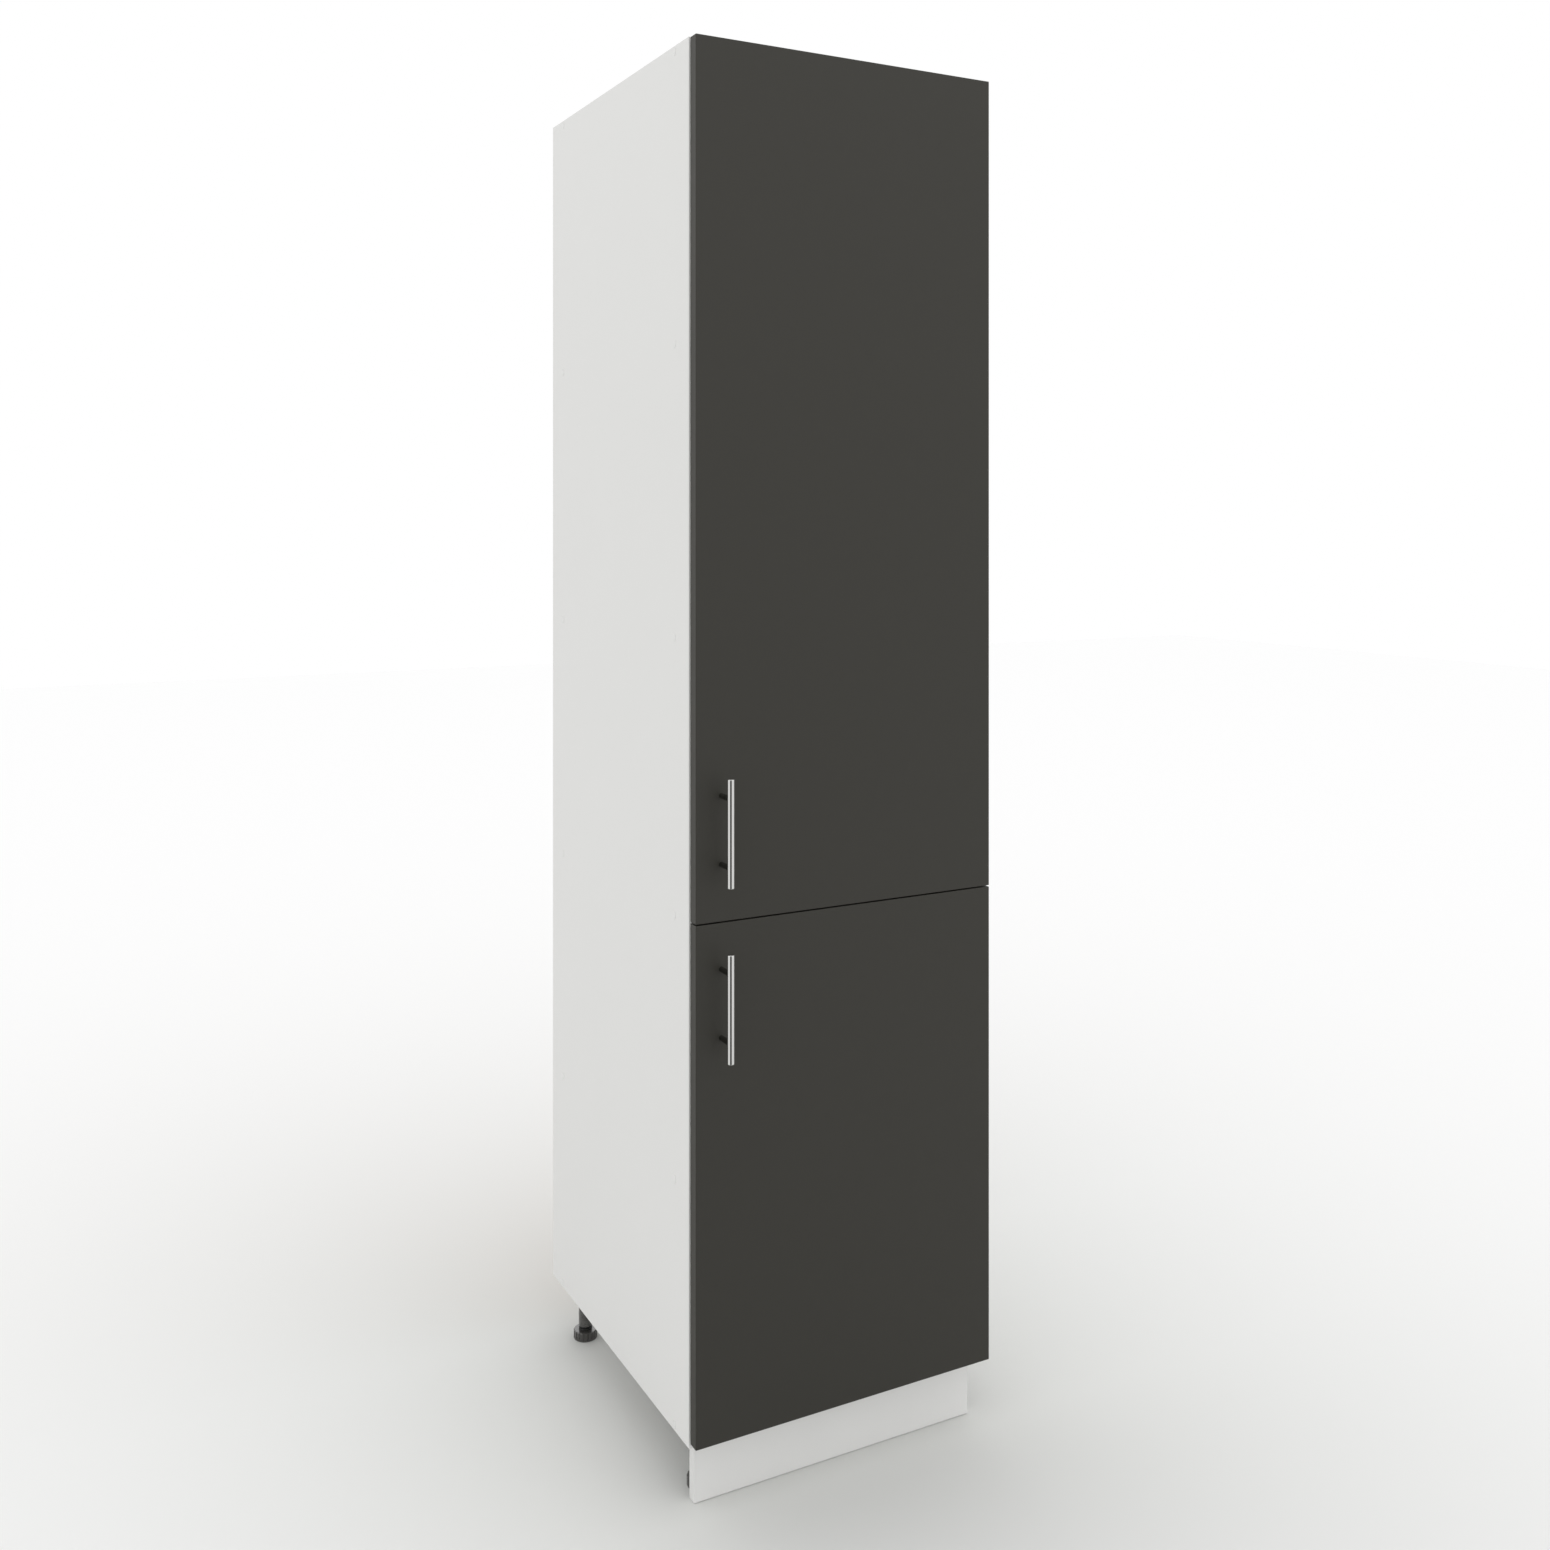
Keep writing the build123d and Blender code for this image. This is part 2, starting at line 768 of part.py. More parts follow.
def hinge_plate(z):
    """Mounting plate on the right side, with the rail that the arm clips over."""
    low = hinge_point(plate_thickness, plate_screw_behind - plate_half_depth, z - plate_half_length)
    high = hinge_point(0, plate_screw_behind + plate_half_depth, z + plate_half_length)
    wings = fillet(block(low, high).edges().filter_by(Axis.X), plate_corner)
    rail = block(hinge_point(arm_outer - arm_web, rail_start_behind, z - rail_half_width),
                 hinge_point(0, rail_end_behind, z + rail_half_width))
    own = [p for p in plate_screw_points() if abs(p[0][2] - z) < plate_half_length]
    holes = [placed(wood_screw_hole(plate_screw_length), *p) for p in own]
    return (wings + rail) - holes - arm_screw_holes(z)


def extruded_outline(points, z, half):
    """Flat outline of (inward, behind) points, as thick as twice half about a height."""
    corners = [hinge_point(u, v, z - half) for u, v in points]
    return extrude(make_face(Polyline(*corners, close=True)), amount=2 * half, dir=(0, 0, 1))


def hinge_arm(z):
    """Channel clipped over the plate's rail, with two ears in the cup that hold the link pin."""
    ear_start = link_half_width + link_side_clearance
    body = extruded_outline([
        (link_pin_inward - link_eye_radius, link_pin_behind),
        (link_pin_inward + link_eye_radius, link_pin_behind),
        (arm_outer, arm_shoulder_behind),
        (arm_outer, arm_end_behind),
        (arm_inner, arm_end_behind),
        (arm_inner, arm_slope_behind),
        (link_pin_inward - link_eye_radius, arm_neck_behind),
    ], z, arm_half_width)
    ends = [hinge_point(link_pin_inward, link_pin_behind, z + s * arm_half_width) for s in (-1, 1)]
    eye = rod(link_eye_radius, *ends)
    bore = rod(link_pin_radius + drilled_clearance, *ends)
    slot = block(hinge_point(arm_outer, link_pin_behind - link_slot_reach, z - ear_start),
                 hinge_point(0, link_pin_behind + link_slot_reach, z + ear_start))
    inside = rail_half_width + arm_wall_clearance
    channel = block(hinge_point(arm_outer - arm_web, arm_slope_behind, z - inside),
                    hinge_point(0, arm_end_behind + cut_overrun, z + inside))
    return (body + eye) - [slot, bore, channel] - arm_screw_holes(z)


def hinge_pin(z):
    """Rivet through the arm's ears and the link's eye."""
    return rod(link_pin_radius, hinge_point(link_pin_inward, link_pin_behind, z - arm_half_width),
               hinge_point(link_pin_inward, link_pin_behind, z + arm_half_width))


def hinge_link(z):
    """Bent link from its eye on the pin, along the cup's mouth and down inside the cup."""
    start = (link_pin_inward, link_pin_behind)
    path = Polyline(*[hinge_point(u, v, z - link_half_width)
                      for u, v in (start, link_knee, link_shoulder, link_tip)])
    strip = extrude(trace(path, line_width=link_thickness), amount=2 * link_half_width, dir=(0, 0, 1))
    ends = [hinge_point(*start, z + s * link_half_width) for s in (-1, 1)]
    eye = rod(link_end_radius, *ends)
    return (strip + eye) - rod(link_pin_radius + drilled_clearance, *ends)


# All the nodes

def all_nodes():
    nodes = {}
    for side, sign in sides.items():
        nodes[f"side_panel_{side}"] = side_panel(sign)
    for name in horizontal_levels:
        nodes[name] = horizontal(name)
    split = back_split()
    nodes["back_panel_lower"] = back_sheet(carcass_bottom + back_inset, split - back_joint / 2)
    nodes["back_panel_upper"] = back_sheet(split + back_joint / 2, carcass_top - back_inset)
    nodes["back_panel_nails"] = group([placed(nail(), *p) for p in nail_points()])
    nodes["carcass_screws"] = group([placed(carcass_screw(), *p) for p in screw_points()])
    for side, sign in sides.items():
        caps = [placed(screw_cap(), at, (sign, 0, 0)) for at, _ in screw_points() if at[0] * sign > 0]
        nodes[f"screw_caps_{side}"] = group(caps)
    nodes["dowels"] = group([placed(dowel(dowel_radius, dowel_length), *p) for p in dowel_points()])
    nodes["wall_brackets"] = group([wall_bracket(x) for x in bracket_places()])
    screw = wood_screw(bracket_screw_length)
    nodes["wall_bracket_screws"] = group([placed(screw, *p) for p in bracket_screw_points()])

    for name, (x, y) in leg_places().items():
        nodes[f"leg_socket_{name}"] = leg_socket(x, y)
        nodes[f"leg_tube_{name}"] = leg_tube(x, y)
        nodes[f"foot_{name}"] = foot(x, y)
    screw = wood_screw(socket_screw_length)
    nodes["leg_socket_screws"] = group([placed(screw, *p) for p in socket_screw_points()])

    nodes["plinth_board"] = plinth_board()
    for side, sign in sides.items():
        nodes[f"plinth_clip_{side}"] = plinth_clip(sign)
    screw = wood_screw(clip_screw_length)
    nodes["plinth_clip_screws"] = group([placed(screw, *p) for p in clip_screw_points()])

    doors = {
        "upper": (upper_door_bottom, upper_door_top, upper_hinge_levels, upper_handle_level),
        "lower": (lower_door_bottom, lower_door_top, lower_hinge_levels, lower_handle_level),
    }
    for name, (bottom, top, hinges, handle) in doors.items():
        nodes[f"{name}_door"] = door(bottom, top, hinges, handle)
        nodes[f"{name}_handle_bar"] = handle_bar(handle)
        for end, z in zip(("bottom", "top"), post_levels(handle)):
            nodes[f"{name}_handle_post_{end}"] = handle_post(z)
        nodes[f"{name}_handle_screws"] = group([handle_screw(z) for z in post_levels(handle)])
        nodes[f"{name}_door_bumpers"] = group(bumpers(bottom, top))
        nodes[f"{name}_hinge_cups"] = group([hinge_cup(z) for z in hinges])
        screw = wood_screw(cup_screw_length)
        nodes[f"{name}_hinge_cup_screws"] = group(
            [placed(screw, *p) for z in hinges for p in cup_screw_points(z)])
        nodes[f"{name}_hinge_arms"] = group([hinge_arm(z) for z in hinges])
        nodes[f"{name}_hinge_plates"] = group([hinge_plate(z) for z in hinges])
        nodes[f"{name}_hinge_links"] = group([hinge_link(z) for z in hinges])
        nodes[f"{name}_hinge_pins"] = group([hinge_pin(z) for z in hinges])
    screw = wood_screw(plate_screw_length)
    nodes["hinge_plate_screws"] = group([placed(screw, *p) for p in plate_screw_points()])
    nodes["hinge_arm_screws"] = group([placed(arm_screw(), *p)
                                       for z in lower_hinge_levels + upper_hinge_levels
                                       for p in arm_screw_points(z)])
    return nodes


os.makedirs("parts", exist_ok=True)
for node, shape in all_nodes().items():
    export_step(shape, f"parts/{node}.step")
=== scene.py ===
"""Finishes, fine pieces, stage and camera for a tall pantry cabinet with two doors.

Run as a script, it loads the packed cabinet, makes each group of pieces with its own operator
and puts the cabinet on a pale floor. Lengths are in metres, in the cabinet's own frame.
"""

import json
import math

import bmesh
import bpy
import numpy as np
from bpy.props import (
    FloatProperty,
    FloatVectorProperty,
    IntProperty,
    PointerProperty,
)
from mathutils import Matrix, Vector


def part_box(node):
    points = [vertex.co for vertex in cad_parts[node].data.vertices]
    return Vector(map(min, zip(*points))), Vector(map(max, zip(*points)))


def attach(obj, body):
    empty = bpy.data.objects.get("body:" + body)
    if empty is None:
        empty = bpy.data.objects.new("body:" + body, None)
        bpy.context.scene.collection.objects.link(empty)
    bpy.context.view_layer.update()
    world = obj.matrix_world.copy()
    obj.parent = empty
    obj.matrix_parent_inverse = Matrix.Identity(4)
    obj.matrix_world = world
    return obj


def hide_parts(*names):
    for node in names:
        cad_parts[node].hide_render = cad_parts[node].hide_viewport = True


bl_info = {
    "name": "Pantry cabinet",
    "version": (1, 0, 0),
    "blender": (4, 5, 0),
    "location": "3D View > Sidebar > Cabinet",
    "description": "Finishes and fine pieces of a tall pantry cabinet",
    "category": "Object",
}

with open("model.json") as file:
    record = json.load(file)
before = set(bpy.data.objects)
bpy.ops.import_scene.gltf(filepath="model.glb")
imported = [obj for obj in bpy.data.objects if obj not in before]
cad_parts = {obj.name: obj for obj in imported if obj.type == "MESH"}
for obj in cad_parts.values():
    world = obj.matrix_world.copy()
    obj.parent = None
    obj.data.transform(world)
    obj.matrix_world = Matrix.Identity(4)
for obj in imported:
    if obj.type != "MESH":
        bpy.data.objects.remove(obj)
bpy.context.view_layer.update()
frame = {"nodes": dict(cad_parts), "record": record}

ACROSS, BACK, UP = 0, 1, 2
LEVELS = ("upper", "lower")
LEGS = ("front_left", "front_right", "back_left", "back_right")
BOARDS = (
    "side_panel_left", "side_panel_right", "top_panel", "bottom_panel",
    "middle_shelf", "lower_shelf", "upper_shelf_low", "upper_shelf_high",
)

# Least part of a face's normal along an axis for the face to look that way
FACING = 0.6

# Points round turned shapes and round each notch, rows in each turn of a thread, and rings
# across a cross recess
BAR_COUNT, POST_COUNT, FLANGE_COUNT, HEAD_COUNT = 64, 48, 48, 48
NOTCH_COUNT = 16
STUD_ROWS, STUD_COUNT = 8, 32
SHANK_ROWS, SHANK_COUNT = 6, 16
RECESS_RINGS = 12

# Points nearer than the first are one point, edges shorter than the second vanish, and edges
# bent by more than the third stay sharp
SAME_POINT, NO_EDGE, SHARP_ANGLE = 1e-7, 1e-8, math.radians(35)

# Soft lamp above the front
LAMP_SIDE = 3.0
LAMP_PLACE = (0.5, -2.5, 4.5)
LAMP_TILT = math.radians(35)

# How far up a mirrored direction points where the light from there starts and stops growing
RISE_START, RISE_END = 0.08, 0.5

# The colour of the dark card (a painted reflection that only gloss sees), the camera's sensor in
# millimetres, and how far the camera sees
CARD_COLOUR = (0.01, 0.01, 0.01)
SENSOR_WIDTH = 36
VIEW_REACH = 100


def size_of(node, axis):
    """Length of a CAD node's box along one axis."""
    low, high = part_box(node)
    return high[axis] - low[axis]


def middle_of(node, axis):
    """Middle of a CAD node's box along one axis."""
    low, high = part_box(node)
    return (high[axis] + low[axis]) / 2


def length(name, description, default, **limits):
    """A length that a user may change, in metres."""
    return FloatProperty(name=name, description=description, default=default,
                         unit="LENGTH", precision=5, **limits)


def colour(name, description, default):
    """A colour that a user may change, as linear red, green and blue."""
    return FloatVectorProperty(name=name, description=description, default=default,
                               subtype="COLOR", size=3, min=0, max=1)


class PantryFinishes(bpy.types.PropertyGroup):
    """Colours of the cabinet's finishes."""

    white: colour("White laminate", "Faces of the carcass boards and plinth",
                  (0.695, 0.695, 0.68))
    white_strip: colour("White edge strip", "Strips on the boards' front edges",
                        (0.676, 0.676, 0.661))
    dark: colour("Dark laminate", "Both doors", (0.0296, 0.0281, 0.0228))
    chips: colour("Particle board", "Bare back edges of the boards", (0.46, 0.32, 0.19))
    fibre: colour("Fibreboard", "Bare outer face of the back", (0.30, 0.185, 0.098))
    steel: colour("Brushed steel", "Handle bars", (0.63, 0.63, 0.615))
    # Painted shade: a darker copy of the bar steel for the posts, which mirror the dark door and
    # sit in the bars' shade
    shaded_post_steel: colour("Dark steel", "Handle posts", (0.30, 0.295, 0.28))
    nickel: colour("Nickel", "Hinges", (0.66, 0.65, 0.61))
    zinc: colour("Zinc", "Screws, nails and wall brackets", (0.60, 0.62, 0.63))
    leg_black: colour("Leg plastic", "Sockets, tubes and feet", (0.052, 0.050, 0.046))
    # Painted shade: the studs are near black so that the gap between each tube and its foot looks
    # as dark as shade
    stud_painted_shade: colour("Stud plastic", "Studs of the feet", (0.008, 0.008, 0.007))
    clip_grey: colour("Clip plastic", "Plinth clips", (0.11, 0.11, 0.11))
    cap_white: colour("Cap plastic", "Caps over the carcass screws", (0.685, 0.685, 0.67))
    bumper_clear: colour("Bumper", "Soft pads on the doors' backs", (0.82, 0.82, 0.79))
    beech: colour("Beech", "Dowels", (0.55, 0.36, 0.19))


class PantryHandles(bpy.types.PropertyGroup):
    """Sizes of the bar handles."""

    bar_radius: length("Bar radius", "Radius of the upright bar",
                       size_of("upper_handle_bar", ACROSS) / 2)
    bar_edge: length("Bar edge", "Rounding at the bar's ends", 0.0007)
    post_radius: length("Post radius", "Radius of each post",
                        size_of("upper_handle_post_top", ACROSS) / 2)
    post_edge: length("Post edge", "Rounding at the post's foot", 0.0003)


class PantryFeet(bpy.types.PropertyGroup):
    """Sizes of the adjustable feet."""

    radius: length("Foot radius", "Radius of the foot's disc",
                   size_of("foot_back_left", ACROSS) / 2)
    height: length("Foot height", "Height of the foot's disc", 0.0145)
    base: length("Base height", "Height of the plain ring under the notches", 0.003)
    edge: length("Edge", "Rounding of the disc's upper edge", 0.002)
    notches: IntProperty(name="Notches", description="Notches round the rim", default=18, min=3)
    notch_radius: length("Notch radius", "Radius of each notch", 0.0017)
    # The flange sits under the tube at nearly its width. Its near-black colour is painted shade.
    flange_radius: length("Flange radius", "Radius of the stud's flange on the disc", 0.0112)
    flange_height: length("Flange height", "Height of the stud's flange", 0.0033)
    stud_radius: length("Stud radius", "Outer radius of the thread", 0.0085)
    thread_depth: length("Thread depth", "Depth of the thread", 0.001)
    pitch: length("Pitch", "Height of one turn of the thread", 0.0025)


class PantryScrews(bpy.types.PropertyGroup):
    """Sizes of the countersunk wood screws."""

    head_height: length("Head height", "Height of the conical head", 0.0016)
    shank_radius: length("Shank radius", "Outer radius of the thread", 0.00175)
    thread_depth: length("Thread depth", "Depth of the thread", 0.0005)
    pitch: length("Pitch", "Length of one turn of the thread", 0.0016)
    point: length("Point", "Length of the tapered point", 0.003)
    recess_reach: length("Recess reach", "Reach of the cross recess's arms", 0.0021)
    recess_width: length("Recess width", "Width of the cross recess's arms", 0.0009)
    recess_depth: length("Recess depth", "Depth of the cross recess", 0.0011)


class PantryStage(bpy.types.PropertyGroup):
    """Camera, floor and light."""

    camera_place: FloatVectorProperty(
        name="Camera", description="Where the camera stands", size=3, subtype="TRANSLATION",
        default=(-1.1397, -2.19275, 1.3873))
    camera_turn: FloatProperty(name="Turn", description="Turn of the level camera to the right",
                               default=0.4868, subtype="ANGLE")
    focal_pixels: FloatProperty(name="Focal length", description="In pixels of the full picture",
                                default=1524)
    horizon_pixels: FloatProperty(name="Horizon", description="Its height in pixels from the top",
                                  default=522)
    picture_pixels: IntProperty(name="Picture", description="Side of the full picture",
                                default=1550)
    floor_half: length("Floor", "Half the width of the floor", 12)
    # Painted shadow: the floor colour that camera and gloss see right by the cabinet. Bounced light
    # never takes it.
    floor_painted_shadow: colour("Floor near", "Colour of the floor under the cabinet", (0.705, 0.71, 0.69))
    floor_far: colour("Floor far", "Colour of the floor away from the cabinet", (0.95, 0.95, 0.95))
    # How far out the painted shadow round the cabinet reaches
    painted_shadow_reach: length("Floor reach", "How far out the floor turns pale", 0.9)
    sky: FloatProperty(name="Sky", description="Strength of the even light all round", default=1.04)
    # Painted sheen: extra brightness from above that only reflections see
    overhead: FloatProperty(name="Overhead", default=0.62,
                            description="Extra brightness that gloss mirrors from above")
    lamp: FloatProperty(name="Lamp", description="Power of the soft lamp above the front",
                        default=3, unit="POWER")
    card_away: length("Card away", "From the handles to the dark card that their bars mirror", 1)
    card_half: length("Card half", "Half the width of that card", 0.46)
    card_top: length("Card top", "Height of that card", 1.05)


# Nodes of materials

def add(tree, kind, inputs=(), **settings):
    """Adds a node, sets its settings and links or fills its inputs."""
    node = tree.nodes.new(kind)
    for name, value in settings.items():
        setattr(node, name, value)
    for key, value in dict(inputs).items():
        if isinstance(value, bpy.types.NodeSocket):
            tree.links.new(value, node.inputs[key])
        else:
            node.inputs[key].default_value = value
    return node


def maths(tree, operation, *values, clamp=False):
    """Result of a Math node on sockets or numbers."""
    inputs = dict(enumerate(values))
    return add(tree, "ShaderNodeMath", inputs, operation=operation, use_clamp=clamp).outputs[0]


def weighed(tree, share, first, second):
    """A share of the first value and the rest of the second."""
    return maths(tree, "ADD", maths(tree, "MULTIPLY", first, share),
                 maths(tree, "MULTIPLY", second, 1 - share))


def vector_maths(tree, operation, *vectors):
    """Vector from a Vector Math node on sockets or triples."""
    node = add(tree, "ShaderNodeVectorMath", dict(enumerate(vectors)), operation=operation)
    return node.outputs["Vector"]


def mixed(tree, factor, first, second):
    """Colour between two colours."""
    inputs = {"Factor": factor, "A": first, "B": second}
    return add(tree, "ShaderNodeMix", inputs, data_type="RGBA").outputs["Result"]


def scaled(tree, value, low, high, start=0, end=1):
    """A value from start to end spread between two numbers."""
    node = add(tree, "ShaderNodeMapRange", {"Value": value, "From Min": start, "From Max": end,
                                            "To Min": low, "To Max": high})
    return node.outputs[0]


def noise(tree, vector, scale, detail, roughness):
    """Value of a soft noise, with as many cells as the scale to each unit of the vector."""
    node = add(tree, "ShaderNodeTexNoise",
               {"Vector": vector, "Scale": scale, "Detail": detail, "Roughness": roughness})
    return node.outputs[0]


def stretched(tree, vector, scale):
    """Coordinates scaled along each axis, to draw a pattern out."""
    return add(tree, "ShaderNodeMapping", {"Vector": vector, "Scale": scale}).outputs[0]


def new_group(name, inputs, outputs):
    """An empty node group with named inputs and outputs."""
    tree = bpy.data.node_groups.new(name, "ShaderNodeTree")
    for label, kind, default in inputs:
        socket = tree.interface.new_socket(label, in_out="INPUT", socket_type=kind)
        socket.default_value = default
    for label, kind in outputs:
        tree.interface.new_socket(label, in_out="OUTPUT", socket_type=kind)
    return tree, tree.nodes.new("NodeGroupInput"), tree.nodes.new("NodeGroupOutput")


def fine_skin_group():
    """Fine pores over slow, faint mottling, as on laminate and moulded plastic."""
    tree, given, out = new_group(
        "Fine skin",
        [("Vector", "NodeSocketVector", (0, 0, 0)), ("Pores", "NodeSocketFloat", 2500.0),
         ("Mottling", "NodeSocketFloat", 9.0)],
        [("Height", "NodeSocketFloat"), ("Shade", "NodeSocketFloat"), ("Gloss", "NodeSocketFloat")])
    spot, mottling = given.outputs["Vector"], given.outputs["Mottling"]
    closer = maths(tree, "MULTIPLY", mottling, 14.0)
    pores = noise(tree, spot, given.outputs["Pores"], detail=2, roughness=0.6)
    slow = noise(tree, spot, mottling, detail=3, roughness=0.5)
    middling = noise(tree, spot, closer, detail=2, roughness=0.5)
    tree.links.new(weighed(tree, 0.8, pores, middling), out.inputs["Height"])
    tree.links.new(weighed(tree, 0.7, slow, pores), out.inputs["Shade"])
    tree.links.new(weighed(tree, 0.5, slow, middling), out.inputs["Gloss"])
    return tree


def edge_strip_group():
    """From the distance to a board's edge: the strip glued on it, and the dark seam beside it."""
    tree, given, out = new_group(
        "Edge strip",
        [("Distance", "NodeSocketFloat", 0.0), ("Thickness", "NodeSocketFloat", 0.0008),
         ("Seam", "NodeSocketFloat", 0.00012)],
        [("Strip", "NodeSocketFloat"), ("Seam", "NodeSocketFloat")])
    distance, thickness = given.outputs["Distance"], given.outputs["Thickness"]
    strip = maths(tree, "LESS_THAN", distance, thickness)
    away = maths(tree, "ABSOLUTE", maths(tree, "SUBTRACT", distance, thickness))
    faded = maths(tree, "DIVIDE", away, given.outputs["Seam"])
    tree.links.new(strip, out.inputs["Strip"])
    tree.links.new(maths(tree, "SUBTRACT", 1.0, faded, clamp=True), out.inputs["Seam"])
    return tree


def chips_group():
    """Pressed wood chips: flat flakes of several tones with dark gaps."""
    tree, given, out = new_group(
        "Pressed chips",
        [("Vector", "NodeSocketVector", (0, 0, 0)),
         ("Tone", "NodeSocketColor", (0.5, 0.35, 0.2, 1)), ("Flake", "NodeSocketFloat", 420.0)],
        [("Colour", "NodeSocketColor"), ("Height", "NodeSocketFloat")])
    spot = given.outputs["Vector"]
    voronoi = add(tree, "ShaderNodeTexVoronoi", {"Vector": spot, "Scale": given.outputs["Flake"]})
    flakes = voronoi.outputs["Distance"]
    grain = noise(tree, spot, scale=1800.0, detail=3, roughness=0.6)
    value = scaled(tree, weighed(tree, 0.5, flakes, grain), low=0.45, high=1.5)
    tone = add(tree, "ShaderNodeHueSaturation", {"Value": value, "Color": given.outputs["Tone"]})
    tree.links.new(tone.outputs[0], out.inputs["Colour"])
    tree.links.new(maths(tree, "ADD", flakes, grain), out.inputs["Height"])
    return tree


def brushing_group():
    """Fine parallel lines left by brushing, drawn out along the axis with the small scale."""
    tree, given, out = new_group(
        "Brushing",
        [("Vector", "NodeSocketVector", (0, 0, 0)), ("Scale", "NodeSocketVector", (1, 1, 1))],
        [("Height", "NodeSocketFloat"), ("Shade", "NodeSocketFloat")])
    drawn = vector_maths(tree, "MULTIPLY", given.outputs["Vector"], given.outputs["Scale"])
    lines = noise(tree, drawn, scale=1.0, detail=4, roughness=0.7)
    broad = noise(tree, drawn, scale=0.13, detail=2, roughness=0.5)
    tree.links.new(lines, out.inputs["Height"])
    tree.links.new(weighed(tree, 0.6, lines, broad), out.inputs["Shade"])
    return tree


def plating_group():
    """Plated metal: cloudy tone, soft blotches in its gloss and hairline scratches."""
    tree, given, out = new_group(
        "Plating",
        [("Vector", "NodeSocketVector", (0, 0, 0)), ("Cloud", "NodeSocketFloat", 160.0)],
        [("Shade", "NodeSocketFloat"), ("Gloss", "NodeSocketFloat"), ("Height", "NodeSocketFloat")])
    spot = given.outputs["Vector"]
    drawn = stretched(tree, spot, (6000, 500, 300))
    cloud = noise(tree, spot, given.outputs["Cloud"], detail=3, roughness=0.55)
    hairs = noise(tree, drawn, scale=1.0, detail=2, roughness=0.5)
    tree.links.new(cloud, out.inputs["Shade"])
    tree.links.new(weighed(tree, 0.7, cloud, hairs), out.inputs["Gloss"])
    tree.links.new(hairs, out.inputs["Height"])
    return tree


GROUP_MAKERS = {
    "Fine skin": fine_skin_group,
    "Edge strip": edge_strip_group,
    "Pressed chips": chips_group,
    "Brushing": brushing_group,
    "Plating": plating_group,
}


def use_group(tree, name, inputs):
    """Places a shared effect in a material, and makes its group the first time."""
    group = bpy.data.node_groups.get(name) or GROUP_MAKERS[name]()
    return add(tree, "ShaderNodeGroup", inputs, node_tree=group).outputs


def new_material(name, **shader):
    """A material, its nodes, its Principled shader and the outputs of a Texture Coordinate."""
    material = bpy.data.materials.new(name)
    material.use_nodes = True
    tree = material.node_tree
    principled = tree.nodes["Principled BSDF"]
    for key, value in shader.items():
        principled.inputs[key.replace("_", " ")].default_value = value
    return material, tree, principled, add(tree, "ShaderNodeTexCoord").outputs


def rgba(shade, factor=1.0):
    """A colour with its red, green and blue scaled, and full alpha."""
    return (*(factor * part for part in shade), 1.0)


def shaded(tree, shade, value, spread):
    """A colour made a little darker or lighter by a value from 0 to 1."""
    low, high = 1 - spread, 1 + spread
    return mixed(tree, value, rgba(shade, low), rgba(shade, high))


def bump(tree, principled, height, distance):
    """Feeds a height, in shares of a distance in metres, to the shader's normal."""
    node = add(tree, "ShaderNodeBump", {"Height": height, "Distance": distance, "Strength": 1.0})
    tree.links.new(node.outputs[0], principled.inputs["Normal"])


def coat(tree, principled, shade, rough):
    """Feeds a colour and a roughness to the shader."""
    tree.links.new(shade, principled.inputs["Base Color"])
    tree.links.new(rough, principled.inputs["Roughness"])


def part_of(tree, vector, axis):
    """One coordinate of a vector, by its axis."""
    return add(tree, "ShaderNodeSeparateXYZ", {0: vector}).outputs[axis]


# Finishes

def fine_skin(tree, place, pores, mottling):
    """Pores and mottling on the object's own coordinates."""
    return use_group(tree, "Fine skin",
                     {"Vector": place["Object"], "Pores": pores, "Mottling": mottling})


def white_face(tree, place, shade):
    """The white faces' mottled colour, with the skin that it comes from."""
    skin = fine_skin(tree, place, pores=2600.0, mottling=7.0)
    return shaded(tree, shade, skin["Shade"], spread=0.012), skin


def with_seam(tree, face, strip, share, shade):
    """A face's colour with a share of the seam's colour beside the edge strip."""
    return mixed(tree, maths(tree, "MULTIPLY", strip["Seam"], share), face, shade)


def white_laminate(finishes, name, front, bare_way):
    """Matt white laminate with a strip along its front edge, which lies at one distance along Y.
    Faces that look the bare way are particle board."""
    material, tree, principled, place = new_material(name, Specular_IOR_Level=0.3)
    spot = place["Object"]
    face, skin = white_face(tree, place, finishes.white)
    chips = use_group(tree, "Pressed chips", {"Vector": spot, "Tone": rgba(finishes.chips)})
    distance = maths(tree, "SUBTRACT", part_of(tree, spot, BACK), front)
    strip = use_group(tree, "Edge strip", {"Distance": distance})
    bare = maths(tree, "GREATER_THAN", part_of(tree, place["Normal"], bare_way), FACING)
    face = mixed(tree, strip["Strip"], face, rgba(finishes.white_strip))
    face = with_seam(tree, face, strip, share=0.35, shade=rgba(finishes.white, factor=0.45))
    rough = scaled(tree, skin["Gloss"], low=0.42, high=0.56)
    bare_rough = maths(tree, "MULTIPLY", bare, 0.85)
    coat(tree, principled, mixed(tree, bare, face, chips["Colour"]),
         maths(tree, "MAXIMUM", rough, bare_rough))
    rise = maths(tree, "MULTIPLY", chips["Height"], maths(tree, "MULTIPLY", bare, 4.0))
    bump(tree, principled, maths(tree, "ADD", skin["Height"], rise), distance=0.00003)
    return material


